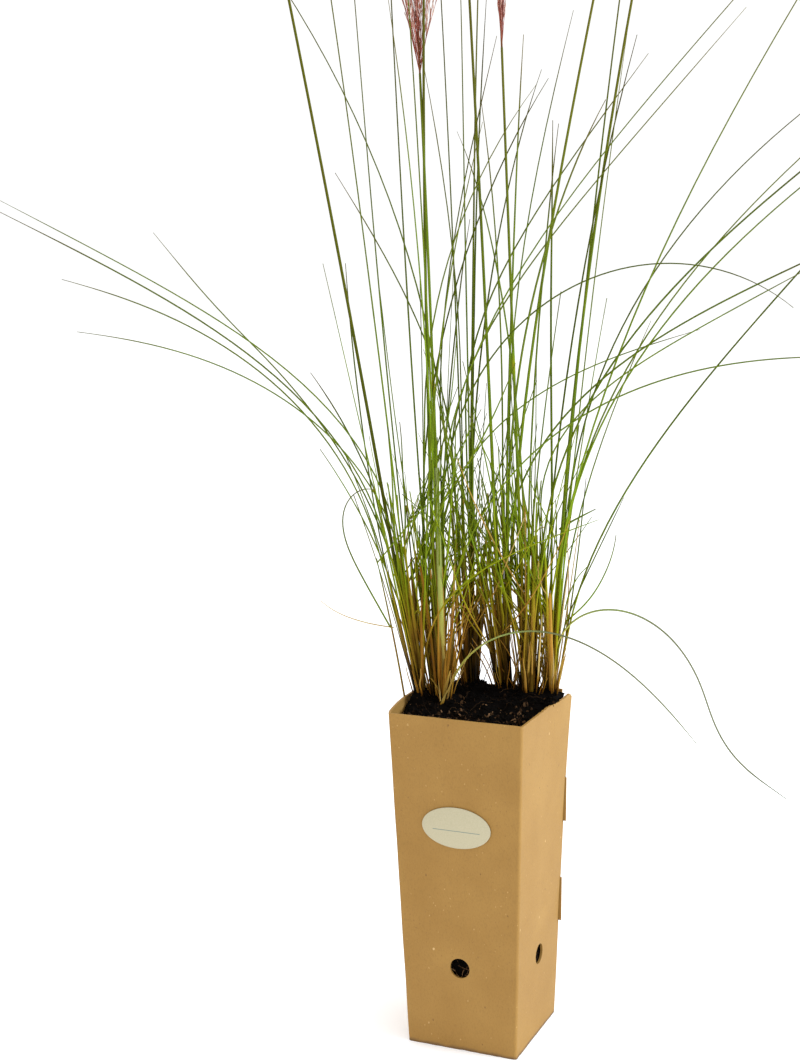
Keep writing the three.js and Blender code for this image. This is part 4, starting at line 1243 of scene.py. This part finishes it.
def grass_material(name, roughness, stops, streak, vary):
    """A skin of grass. Streak is how far its streaks move its ripeness, vary how unlike strands are."""
    material, tree, surface = new_material(name, 1.45, roughness)
    surface.inputs["Specular IOR Level"].default_value = 0.04
    ripe = add_node(tree, "ShaderNodeAttribute", {"attribute_name": "ripe"})
    grain = add_node(tree, "ShaderNodeAttribute", {"attribute_name": "grain"})
    stretched = add_node(tree, "ShaderNodeMapping", {"Scale": STREAKS}, {"Vector": grain.outputs["Vector"]})
    streaks = add_node(tree, "ShaderNodeTexNoise", {"Scale": 1.0, "Detail": 4.0},
                       {"Vector": stretched.outputs["Vector"]})
    uneven = add_node(tree, "ShaderNodeMath", {"operation": "MULTIPLY_ADD", 1: streak, 2: -streak / 2},
                      {0: streaks.outputs["Fac"]})
    age = add_node(tree, "ShaderNodeMath", {"operation": "ADD", "use_clamp": True},
                   {0: ripe.outputs["Fac"], 1: uneven.outputs["Value"]})
    colours = add_node(tree, "ShaderNodeValToRGB", {"stops": stops}, {"Fac": age.outputs["Value"]})
    across = add_node(tree, "ShaderNodeSeparateXYZ", {}, {0: grain.outputs["Vector"]})
    chance = add_node(tree, "ShaderNodeTexWhiteNoise", {"noise_dimensions": "1D"}, {"W": across.outputs["Z"]})
    bright = add_node(tree, "ShaderNodeMapRange", {"To Min": 1 - 0.75 * vary, "To Max": 1 + 0.95 * vary},
                      {"Value": chance.outputs["Value"]})
    tint = add_node(tree, "ShaderNodeMapRange", {
        "From Min": 0.3, "From Max": 0.7, "To Min": 0.485, "To Max": 0.515},
        {"Value": streaks.outputs["Fac"]})
    shaded = add_node(tree, "ShaderNodeHueSaturation", {}, {
        "Hue": tint.outputs["Result"], "Value": bright.outputs["Result"], "Color": colours.outputs["Color"]})
    tree.links.new(shaded.outputs["Color"], surface.inputs["Base Color"])
    ribs = add_node(tree, "ShaderNodeMath", {"operation": "MULTIPLY", 1: 2 * math.pi / RIB},
                    {0: across.outputs["X"]})
    wave = add_node(tree, "ShaderNodeMath", {"operation": "SINE"}, {0: ribs.outputs["Value"]})
    relief = add_node(tree, "ShaderNodeBump", {"Strength": 0.25, "Distance": 0.0001},
                      {"Height": wave.outputs["Value"]})
    tree.links.new(relief.outputs["Normal"], surface.inputs["Normal"])
    return material


# Living leaf: a smooth skin with little wax, so its colour is deep and it hardly shines.
# Its ramp starts near black: partly dead bases, partly painted shade at the feet of the stems.
# The bright yellow-greens from 0.28 to 0.5 are partly the young leaf's own colour and partly painted light,
# standing in for light that shines through thin leaves.
living = grass_material("muhly_leaf_blade", 0.48, [
    (0.0, "#0a0603"), (0.08, "#4e370a"), (0.18, "#8f711f"), (0.28, "#857b14"), (0.38, "#778213"),
    (0.50, "#667b18"), (0.60, "#576514"), (0.70, "#545714"), (0.85, "#574f1b"), (1.0, "#6a5c38")],
    streak=0.16, vary=0.34)
# Straw: sheaths and leaves that have dried on the plant, papery, matt and bleached in streaks.
# Its near-black start is partly dead bases, partly painted shade at the feet of the strands.
dried = grass_material("dried_straw_sheath", 0.6, [
    (0.0, "#120b05"), (0.12, "#6b430f"), (0.3, "#9a6d22"), (0.55, "#ae8c42"), (0.78, "#c6ae76"),
    (1.0, "#dccfa6")], streak=0.35, vary=0.2)
# Waxy sheath: a young shoot's bloom of wax greys its green and makes it the smoothest of all.
# Its near-black start is partly dead bases, partly painted shade at the feet of the strands.
waxy = grass_material("waxy_culm_sheath", 0.4, [
    (0.0, "#0a0603"), (0.08, "#6a4a18"), (0.16, "#a08640"), (0.26, "#a8a24a"), (0.40, "#98a35a"),
    (0.55, "#869453"), (0.75, "#70724e"), (1.0, "#62614a")], streak=0.14, vary=0.15)
# Browned culm: last year's stem, hard as cane and an even dark olive brown.
ageing = grass_material("browned_culm_skin", 0.5, [
    (0.0, "#3a3a0c"), (0.07, "#464b0b"), (0.2, "#54540f"), (0.5, "#5f5a18"), (1.0, "#6b5a28")],
    streak=0.08, vary=0.1)
LIVING, DRIED, WAXY, AGEING = range(4)   # a strand's finish is its place in this list
GRASS = [living, dried, waxy, ageing]
print("grass materials", [m.name for m in GRASS])

# %% [markdown]
# ## Dressing a tuft
# Each CAD arc becomes one fine blade of its kind. Culms are round with two nodes and a sheath
# round the foot; leaves are folded and narrow to a hair; clipped leaves end in a pale blunt cut.
# Then come the thin things a coarse solid can't hold: side leaves that leave their sheaths at an
# angle and cross each other, dead curls and stubs.

# %% Ripeness, and helpers for arcs
def ripeness_and_shade(z, soil, t, shift, tired=0.0, dark=12):
    """How ripe a point is: near black at the crown, partly dead bases and partly painted shade among
    the stems, then brown, green from 90 mm up and grey at the tip. The dark of the crown fades
    over about 1.5 times dark, in mm."""
    h = z - soil
    base = 0.17 * smoothstep(h, 0.2 * dark, 1.6 * dark)
    base = base + 0.24 * smoothstep(h, 14, 88) + 0.14 * smoothstep(h, 70, 200)
    base += 0.2 * smoothstep(h, 200, 520) + 0.24 * smoothstep(t, 0.8, 1.0) * tired
    return min(1, max(0, base + shift))


def side_of(azimuth):
    """The level direction across a blade that leans towards an azimuth."""
    return (-math.sin(math.radians(azimuth)), math.cos(math.radians(azimuth)), 0)


def sway(arc, side, draw, size):
    """Lets an arc wander a little to its sides, most in its middle."""
    wave, phase = draw(1.2, 2.6), draw(0, FULL_CIRCLE)
    last = len(arc) - 1
    moved = []
    for i, p in enumerate(arc):
        t = i / last
        fading = math.sin(math.pi * min(1, t * 1.1))
        push = size * math.sin(wave * math.pi * t + phase) * fading if t < 0.9 else 0
        moved.append(tuple(a + push * b for a, b in zip(p, side)))
    return moved


def finer(arc, times):
    """Puts more points on an arc."""
    arc = np.array(arc)
    at = np.linspace(0, len(arc) - 1, (len(arc) - 1) * times + 1)
    return np.stack([np.interp(at, range(len(arc)), arc[:, k]) for k in range(3)], 1)


print("ripeness 100 mm up a leaf", round(ripeness_and_shade(100, 0, 0.3, 0), 2))

# %% Leaves, whole and clipped
DROOPING = 100                           # a leaf that bends over further than this hangs down
WIDEST = (225, 80)                       # mm over the soil where leaves are widest, and how far


def dress_leaf(bundle, blade, soil, draw):
    """A long leaf, folded along its midrib and narrowing to a hair."""
    side = side_of(blade["azimuth"])
    arc = sway(blade["arc"], side, draw, 0.5)
    count = len(arc)
    shift, tired, seed = draw(-0.05, 0.07), draw(0.3, 1.0), draw(0, 60)
    wide = draw(0.86, 1.16)
    droops = blade["bend"] > DROOPING and arc[-1][2] < soil + 60
    if droops:                           # such a leaf is waxy and greyish from its foot
        shift, wide = 0, 1.2
    widths, depths, ripe = [], [], []
    for i in range(count):
        t = i / (count - 1)
        w = wide * width_at(blade, t) * (1 - 0.5 * smoothstep(t, 0.88, 1.0))
        w *= 1 + 0.15 * math.exp(-((arc[i][2] - soil - WIDEST[0]) / WIDEST[1]) ** 2)
        widths.append(w)
        depths.append(w * mix(0.85, 0.7, t))
        ripe.append(mix(0.24, 0.85, smoothstep(t, 0.12, 0.55)) if droops
                    else ripeness_and_shade(arc[i][2], soil, t, shift, tired))
    add_strand(bundle, arc, widths, depths, FOLDED, side, ripe, WAXY if droops else LIVING, seed,
               roll=draw(-1.2, 1.2))


def dress_clipped(bundle, blade, soil, draw):
    """A leaf that was cut back. It ends bluntly, and one in seven has died."""
    side = side_of(blade["azimuth"])
    arc = blade["arc"]
    count = len(arc)
    shift, seed, wide, dark = draw(-0.12, 0.05), draw(0, 60), draw(0.7, 1.08), draw(1, 20)
    dead = draw() < 0.14
    widths = [wide * width_at(blade, i / (count - 1)) for i in range(count)]
    ripe = [ripeness_and_shade(arc[i][2], soil, i / (count - 1), shift, 0, dark) for i in range(count)]
    if dead:
        ripe = [draw(0.3, 0.6)] * count
    add_strand(bundle, arc, widths, [0.6 * w for w in widths], FOLDED, side, ripe,
               DRIED if dead else LIVING, seed, roll=draw(-0.6, 0.6))
    if draw() < 0.6:                     # the cut end dries out
        end, before = Vector(arc[-1]), Vector(arc[-2])
        dry = draw(2, 6)
        cut = [tuple(end - (end - before).normalized() * dry * (1 - k / 2)) for k in range(3)]
        add_strand(bundle, cut, [1.05 * widths[-1]] * 3, [0.68 * widths[-1]] * 3, FOLDED, side,
                   [0.3, 0.5, 0.6], DRIED, seed)


print("leaves hang once they bend over by", DROOPING, "degrees")

# %% Sheaths
def dress_sheath(bundle, blade, soil, draw):
    """A loose outer sheath of straw, and the greener shoot inside it that stands above it."""
    side = side_of(blade["azimuth"])
    arc = blade["arc"]
    count = len(arc)
    seed, dry, dark = draw(0, 60), draw(0.15, 0.75), 3 + 20 * draw() ** 1.2
    widths = [blade["width"] * mix(1.0, 0.62, (i / (count - 1)) ** 1.5) for i in range(count)]
    widths[-1] *= 0.7
    # the straw is near black at its foot: partly dead base, partly painted shade among the stems
    straw = [min(1, dry * smoothstep(arc[i][2] - soil, 0.2 * dark, 1.6 * dark)) for i in range(count)]
    green = [ripeness_and_shade(arc[i][2], soil, 0, -0.07, 0, dark) for i in range(count)]
    straw_one = draw() < 0.6
    add_strand(bundle, arc, widths, [0.75 * w for w in widths], ROUND, side,
               straw if straw_one else green, DRIED if straw_one else LIVING, seed)
    if draw() < 0.5:                     # half of them are empty
        return
    shoot = {**blade, "length": min(140, blade["length"] * draw(1.3, 1.7)), "segments": 3}
    inner = sway(arc_of(shoot), side, draw, 0.4)
    n = len(inner)
    slim = [0.62 * blade["width"] * mix(1.0, 0.55, i / (n - 1)) for i in range(n)]
    ripe = [ripeness_and_shade(inner[i][2], soil, 0, draw(-0.02, 0.02) - 0.03, 0, dark) for i in range(n)]
    add_strand(bundle, inner, slim, [0.8 * w for w in slim], ROUND, side, ripe, LIVING, seed + 3)


print("a sheath is", SHEATH["length"], "mm long")

# %% Culms
YOUNG_CULM, OLD_CULM = 400, 540          # mm: shorter ones are young, longer ones old
OUTSIDE = np.array((0.38, -0.92, 0))     # the way the young culm bows out of its tuft
BOW_OUT = 11                             # mm
TORN_SKINS = 7
SKIN_TAPER = (0.7, 0.9, 1, 1, 1, 0.95, 0.9, 0.7, 0.3)


def bowed(p, soil):
    """A point of the young culm, moved out in front of the older shoots."""
    h = p[2] - soil
    return p + BOW_OUT * (0.45 + 0.55 * smoothstep(h, 0, 45)) * (1 - smoothstep(h, 80, 230)) * OUTSIDE


def dress_culm(bundle, blade, soil, draw):
    """A round culm with its nodes, and the sheath that wraps its lower half. The youngest culm,
    which is still short, has the widest and palest sheath; the oldest has browned."""
    side = side_of(blade["azimuth"])
    young, old = blade["length"] < YOUNG_CULM, blade["length"] > OLD_CULM
    arc = finer(blade["arc"], 3)
    if young:
        arc = np.array([bowed(p, soil) for p in arc])
    count, seed = len(arc), draw(0, 60)
    nodes_at = [draw(0.24, 0.3), draw(0.5, 0.58)]
    widths, ripe = [], []
    for i in range(count):
        t = i / (count - 1)
        knot = max(math.exp(-((t - n) * blade["length"] / 1.6) ** 2) for n in nodes_at)
        widths.append(width_at(blade, t) * (1.06 + 0.22 * knot))
        base = mix(0.12, 0.2, t) if old else ripeness_and_shade(arc[i][2], soil, t, -0.06 if young else 0.02, 0.0)
        ripe.append(base * (1 - 0.55 * knot) + 0.05 * smoothstep(t, 0.3, 1.0))
    add_strand(bundle, arc, widths, widths, ROUND, side, ripe, AGEING if old else LIVING, seed)
    top = int(count * draw(0.38, 0.5))
    wrap, foot_width = arc[:top], 4.3 if young else draw(2.6, 3.1)
    slim = [mix(foot_width, 3.0 if young else 2.2, i / (top - 1)) for i in range(top)]
    add_strand(bundle, wrap, slim, [0.86 * w for w in slim], ROUND, side,
               [0.09 if old else ripeness_and_shade(p[2], soil, 0, -0.03) for p in wrap],
               AGEING if old else WAXY if young else LIVING, seed + 5)
    if young:                            # torn dead skins hang round its foot
        for k in range(TORN_SKINS):
            foot = wrap[0] + OUTSIDE * draw(0.5, 2.5) + np.array(side) * draw(-4, 3)
            line = wandering(foot, (draw(-0.5, 0.3), draw(-0.4, 0.1), 1), draw(14, 30), 8, draw, stray=0.12)
            wide = draw(1.4, 2.6)
            # the skins start near black at the foot: partly dead base, partly painted shade among the stems
            add_strand(bundle, line, [wide * w for w in SKIN_TAPER], [0.5] * 9, FOLDED, side,
                       [0.04, 0.25] + [draw(0.35, 0.7)] * 7, DRIED, draw(0, 60))


DRESS = {"leaf": dress_leaf, "clipped": dress_clipped, "sheath": dress_sheath, "culm": dress_culm}
print("kinds", sorted(DRESS))

# %% [markdown]
# ## The thin growth
# Between the blades of the CAD a real tuft is full of thinner things: side leaves, fine leaves,
# dry curls, stubs and split papery sheaths. They are grown from each tuft's own places by the
# same repeatable draw. A hair system would strew them faster, but it would not be exported, and
# it could not start a leaf from the side of a sheath.

# %% Numbers of the thin growth, and the leaves that stand alone
# How many side leaves, fine leaves and curls each tuft has.
THIN = {"left": (20, 8, 1), "front": (33, 10, 3), "middle": (18, 7, 1), "centre": (22, 7, 1),
        "right": (33, 10, 2), "corner": (17, 5, 1)}
# How many papery old sheaths it has, and how bleached the driest are.
SKINS = {"left": (3, 0.5), "front": (32, 0.38), "middle": (3, 0.4), "centre": (4, 0.6),
         "right": (7, 0.8), "corner": (6, 0.85)}
INWARD = (-2, 12)                        # side leaves mostly cross towards here, mm
TO_THE_RIGHT = (0.914, 0.406)            # as the plant is seen from its front right
THINNEST = 0.4                           # mm; a real tip is finer, and would not show
# Leaves that stand alone: distance to the side of the tuft, height over its soil, azimuth, lean
# at the foot and at the tip, how late it bends, length, width and a shift of its ripeness, or
# over 0.5 how dry and pale a dead one is.
SINGLES = {
    "left": [(-19, 45, 204, 28, -115, 3.5, 108, 1.3, 0.2), (-10, -5, 204, 9, 12, 1, 96, 1.5, -0.05),
             (-9, 30, 204, 12, 22, 1, 130, 1.2, 0), (-13, 60, 204, 20, 34, 1, 110, 1.2, 0),
             (-17, 45, 204, 80, 46, 1.5, 50, 0.9, 0.75)],
    "corner": [(10, 48, 24, 47, 6, 1, 66, 1.3, 0.15), (9.7, 56, 24, 12, 50, 1, 34, 1.1, 0.1),
               (6, 108, 24, 58, 66, 1, 26, 1.6, 0.05), (2, -3, 24, 9, 7, 1, 118, 1.1, 0.6),
               (4, -3, 24, 10, -3, 0.7, 112, 1.0, 0.55), (3, -3, 24, 4, 8, 0.7, 92, 1.6, 0.7)],
}
SINGLE_SEGMENTS = 6
print(sum(map(len, SINGLES.values())), "leaves stand alone")

# %% Growing the thin leaves
def thin_leaf(bundle, foot, azimuth, lean, bend, length, width, soil, draw, finish=LIVING, shift=0.0,
              power=0.8, segments=3):
    """One thin leaf. The shift moves its ripeness, or over 0.5 says how dry a dead one is."""
    blade = {"azimuth": azimuth, "lean": lean, "bend": bend, "rise": 0.15 * length, "power": power,
             "length": length, "foot": foot, "segments": segments}
    side = side_of(azimuth)
    arc = sway(arc_of(blade), side, draw, 0.8)
    count = len(arc)
    widths = [max(THINNEST, width * (1 - 0.55 * (i / (count - 1)) ** 2)) for i in range(count)]
    ripe = [ripeness_and_shade(arc[i][2], soil, i / (count - 1), shift, 0.6) for i in range(count)]
    if segments == SINGLE_SEGMENTS:      # these start clear of the crown's brown
        ripe = [max(0.2, value) for value in ripe]
    if finish == DRIED:
        dry = shift if shift > 0.5 else draw(0.35, 0.75)
        # a dead leaf is near black at its foot: partly dead base, partly painted shade among the stems
        ripe = [dry * smoothstep(arc[i][2] - soil, 0, 14) for i in range(count)]
    add_strand(bundle, arc, widths, [0.85 * w for w in widths], FINE, side, ripe, finish, draw(0, 60))


def side_leaves(bundle, tuft, hosts, number, draw):
    """Leaves that part from a sheath some way up and mostly lean over towards the plant's middle."""
    for i in range(number):
        arc = hosts[int(draw(0, len(hosts)))]["arc"]
        foot = arc[int(draw(0.45, 0.98) * (len(arc) - 1))]
        crossing = draw() < 0.75
        inward = math.degrees(math.atan2(INWARD[1] - foot[1], INWARD[0] - foot[0]))
        azimuth = inward + draw(-70, 70) if crossing else draw(0, 360)
        lean = draw(16, 50) if crossing else draw(4, 20)
        thin_leaf(bundle, foot, azimuth, lean, lean + draw(-22, 8), draw(45, 125), draw(0.9, 1.5),
                  tuft["soil"], draw, DRIED if draw() < 0.07 else LIVING, draw(-0.06, 0.08))


def fine_leaves(bundle, tuft, number, draw):
    """Leaves that rise from the crown, one in seven of them long."""
    for i in range(number):
        out, angle = tuft["radius"] * 0.8 * math.sqrt(draw()), draw(0, FULL_CIRCLE)
        foot = (*around(tuft["at"], out, angle), tuft["soil"])
        lean_x, lean_y = tuft["lean"][0] + draw(-7, 7), tuft["lean"][1] + draw(-7, 7)
        lean, azimuth = math.hypot(lean_x, lean_y), math.degrees(math.atan2(lean_y, lean_x))
        long = draw() < 0.14
        thin_leaf(bundle, foot, azimuth, lean, lean + draw(-4, 14),
                  draw(200, 290) if long else draw(90, 170), draw(0.9, 1.4), tuft["soil"], draw,
                  shift=draw(-0.08, 0.04))


def single_leaves(bundle, tuft, rows, draw):
    """The leaves that stand alone, from their rows."""
    for aside, height, azimuth, lean, bend, power, length, width, shift in rows:
        foot = (tuft["at"][0] + aside * TO_THE_RIGHT[0], tuft["at"][1] + aside * TO_THE_RIGHT[1],
                tuft["soil"] + height)
        thin_leaf(bundle, foot, azimuth, lean, bend, length, width, tuft["soil"], draw,
                  DRIED if shift > 0.5 else LIVING, shift, power, SINGLE_SEGMENTS)


print("thin leaves are at least", THINNEST, "mm wide")

# %% Curls, stubs, split sheaths and the crown
CURL_STEPS, SKIN_STEPS = 18, 10


def dead_curls(bundle, hosts, number, draw):
    """Dead leaves that curl as they dry."""
    for i in range(number):
        arc = hosts[int(draw(0, len(hosts)))]["arc"]
        foot = arc[int(draw(0.1, 0.8) * (len(arc) - 1))]
        line = wandering(foot, (draw(-1, 1), draw(-1, 1), draw(0.4, 1.6)), draw(18, 44), CURL_STEPS, draw,
                         droop=0.04, stray=0.2)
        count = len(line)
        add_strand(bundle, line, [0.75] * count, [0.6] * count, FINE, (0.3, 0.2, 1),
                   [draw(0.35, 0.8)] * count, DRIED, draw(0, 60))


def dead_stubs(bundle, tuft, draw):
    """Stubs of old leaves round the crown, more of them round a wide one."""
    for i in range(int(tuft["radius"] * 1.6)):
        out, angle = tuft["radius"] * draw(0.6, 1.15), draw(0, FULL_CIRCLE)
        foot = (*around(tuft["at"], out, angle), tuft["soil"] - 2)
        thin_leaf(bundle, foot, math.degrees(angle), draw(2, 28), draw(4, 40), draw(14, 44),
                  draw(0.6, 1.3), tuft["soil"], draw, finish=DRIED)


def split_sheaths(bundle, tuft, number, driest, draw):
    """Papery old sheaths that have split, some of them bleached."""
    for i in range(number):
        out, angle = tuft["radius"] * draw(0.5, 1.05), draw(0, FULL_CIRCLE)
        foot = (*around(tuft["at"], out, angle), tuft["soil"])
        line = wandering(foot, (0.2 * math.cos(angle), 0.2 * math.sin(angle), 1), draw(16, 78),
                         SKIN_STEPS, draw, stray=0.05)
        wide, count = draw(1.2, 2.4), len(line)
        widths = [wide * math.sin(math.pi * (0.25 + 0.72 * k / SKIN_STEPS)) for k in range(count)]
        # near black at the foot: partly dead base, partly painted shade among the stems
        ripe = [0.0, 0.07, 0.2] + [draw(0.55, 1) * driest] * (count - 3)
        add_strand(bundle, line, widths, [0.5] * count, FOLDED, side_of(math.degrees(angle)), ripe,
                   DRIED, draw(0, 60), roll=draw(-0.8, 0.8))


def thin_growth(bundle, group, draw):
    """All the thin growth of one tuft."""
    tuft = TUFTS[group]
    hosts = [b for b in grown if b["group"] == group and b["kind"] in ("sheath", "clipped")]
    aside, fine, curled = THIN[group]
    side_leaves(bundle, tuft, hosts, aside, draw)
    fine_leaves(bundle, tuft, fine, draw)
    single_leaves(bundle, tuft, SINGLES.get(group, []), draw)
    dead_curls(bundle, hosts, curled, draw)
    dead_stubs(bundle, tuft, draw)
    split_sheaths(bundle, tuft, *SKINS[group], draw)


def crown_mound(bundle, tuft, draw):
    """The crown: a near-black knob of old bases that the blades rise from, its black partly painted shade at
    the feet of the blades.
    """
    r, (x, y), top = tuft["radius"], tuft["at"], tuft["soil"] + CROWN_DOME
    profile = [(0.55 * r, -18), (r, -7), (r, -4), (0.86 * r, -2), (0.55 * r, -0.6), (0.15 * r, 0)]
    line = [(x, y, top + h) for _, h in profile]
    sizes = [2 * w for w, _ in profile]
    add_strand(bundle, line, sizes, sizes, ROUND, (1, 0, 0), [0.02] * len(line), LIVING, draw(0, 60))


print("thin growth for", sorted(THIN))

# %% [markdown]
# ## The tufts' pieces
# Crown, blades and thin growth of a tuft are one mesh, as they are one plant that holds together
# at its crown. Each piece stands for the CAD's node of the same tuft. Last, the bases are made
# darker and browner lower down, tuft by tuft and most in the middle one at the back: partly older
# bases, partly painted shade in the dim middle of the clump.

# %% Make the six tufts
# How much darker and browner each tuft is lower down, from 0 to 1: partly old bases, partly painted shade.
OLD_BASE_AND_SHADE = {"left": 0.15, "front": 0.1, "middle": 0.6, "centre": 0.3, "right": 0.2, "corner": 0.0}
for number, (group, tuft) in enumerate(TUFTS.items()):
    bundle, draw = new_bundle(), draw_from(500 + number)
    crown_mound(bundle, tuft, draw)
    for blade in [b for b in grown if b["group"] == group]:
        DRESS[blade["kind"]](bundle, blade, tuft["soil"], draw)
    thin_growth(bundle, group, draw)
    # painted shade and age: the lower parts of each tuft are darkened by its share
    bundle["ripe"] = [r * mix(1, smoothstep(p[2] - tuft["soil"], 20, 130), OLD_BASE_AND_SHADE[group])
                      for r, p in zip(bundle["ripe"], bundle["points"])]
    piece = bundle_piece(f"grass_tuft_{group}", bundle, GRASS)
    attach(piece, BODY)
    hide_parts(f"tuft_{group}")
    print(group, len(bundle["faces"]), "faces")

# %% [markdown]
# ## The panicles
# The flower heads are what the grass is grown for: hair-thin branches that carry slender pink
# spikelets, so many that they read as a haze. Their skins are dry and papery, which scatters the
# light and leaves them matt. The rachis is red-brown, and colour runs from dusky red inside to
# pale pink outside. Every branch here is a strand, since hair particles would be lost when the
# model is exported. Real branches are about 0.1 mm thick and are drawn over twice as thick.

# %% Panicle material
panicle_stuff = grass_material("muhly_panicle", 0.55, [
    (0.0, "#5f4424"), (0.12, "#7d4a2c"), (0.3, "#8a4538"), (0.5, "#a06458"), (0.75, "#bb9180"),
    (1.0, "#d3bda8")], streak=0.3, vary=0.3)
print("panicle material", panicle_stuff.name)

# %% Spikelets and branches
STALK, THIN_BRANCH = 0.26, 0.28          # mm


def spikelet(bundle, at, heading, size, ripe, draw):
    """A slender bud, widest below its middle."""
    heading = Vector(heading).normalized()
    line = [tuple(Vector(at) + heading * size * t) for t in (0, 0.25, 0.55, 1)]
    widths = [0.25, 0.6, 0.5, 0.12]
    add_strand(bundle, line, widths, widths, FINE, heading.orthogonal(),
               [ripe, ripe + 0.06, ripe + 0.1, ripe + 0.18], 0, draw(0, 60))


def dress_branch(bundle, arc, draw, inner):
    """A branch with its spikelets on thin stalks. Inner is how ripe it is at its foot."""
    arc = [Vector(p) for p in arc]
    n = len(arc)
    widths = [max(THIN_BRANCH, 0.5 * (1 - 0.5 * i / (n - 1))) for i in range(n)]
    ripe = [min(1, inner + 0.4 * i / (n - 1)) for i in range(n)]
    add_strand(bundle, [tuple(p) for p in arc], widths, widths, FINE, (arc[-1] - arc[0]).orthogonal(),
               ripe, 0, draw(0, 60))
    spikelets = int((arc[-1] - arc[0]).length / 6) + 2
    for k in range(spikelets):
        t = draw(0.3, 1.0) * (n - 1)
        i = min(int(t), n - 2)
        foot = arc[i].lerp(arc[i + 1], t - i)
        way = (arc[i + 1] - arc[i]).normalized()
        stray = Vector((draw(-1, 1), draw(-1, 1), draw(-0.3, 1)))
        heading = (way + 0.16 * stray).normalized()
        stalk = draw(1.5, 5)
        line = [tuple(foot + heading * stalk * s) for s in (0, 0.5, 1)]
        add_strand(bundle, line, [STALK] * 3, [STALK] * 3, FINE[:3], heading.orthogonal(),
                   [inner + 0.2] * 3, 0, draw(0, 60))
        spikelet(bundle, line[-1], heading, draw(2.6, 4.2),
                 min(0.8, inner + 0.3 * t / (n - 1) + draw(0.05, 0.35)), draw)


print("stalks are", STALK, "mm thick")

# %% Panicles
HAZE, LOW_HAZE = 84, 30                  # finer branches, and how many of them start lowest


def dress_panicle(group):
    """A panicle: its rachis, its main branches and the haze of finer ones between them."""
    bundle, draw = new_bundle(), draw_from(sum(map(ord, group)))
    blades = [b for b in grown if b["group"] == group]
    rachis = blades[0]
    arc = finer(rachis["arc"], 2)
    # Its foot is moved back by more than the gap, so that it grows out of its culm.
    arc[0] -= 1.6 * CLEAR * (arc[1] - arc[0]) / np.linalg.norm(arc[1] - arc[0])
    count = len(arc)
    widths = [width_at(rachis, i / (count - 1)) for i in range(count)]
    add_strand(bundle, arc, widths, widths, ROUND, side_of(rachis["azimuth"]),
               [0.08 + 0.2 * i / count for i in range(count)], 0, 1.0)
    for branch in blades[1:]:
        dress_branch(bundle, branch["arc"], draw, draw(0.14, 0.36))
    for i in range(HAZE):
        t = 0.1 * draw() if i < LOW_HAZE else draw(0.1, 0.93)
        foot = arc[int(t * (count - 1))]
        reach = mix(62, 30, t) * draw(0.5, 1.05)
        fan = {"azimuth": draw(0, 360), "lean": openness[group] * draw(9.5, 14), "bend": 0, "rise": 0,
               "power": 1, "length": reach, "foot": tuple(foot), "segments": 1}
        fan["bend"] = fan["lean"] + openness[group] * draw(-2, 6)
        dress_branch(bundle, arc_of(fan), draw, draw(0.14, 0.32) + 0.3 * t)
    return bundle


panicle_groups = [name for name in groups if name.startswith("panicle")]
for number, group in enumerate(panicle_groups):
    bundle = dress_panicle(group)
    piece = bundle_piece(f"pink_panicle_{number + 1}", bundle, [panicle_stuff])
    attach(piece, BODY)
    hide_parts(f"panicle_{number + 1}")
    print(group, len(bundle["faces"]), "faces")
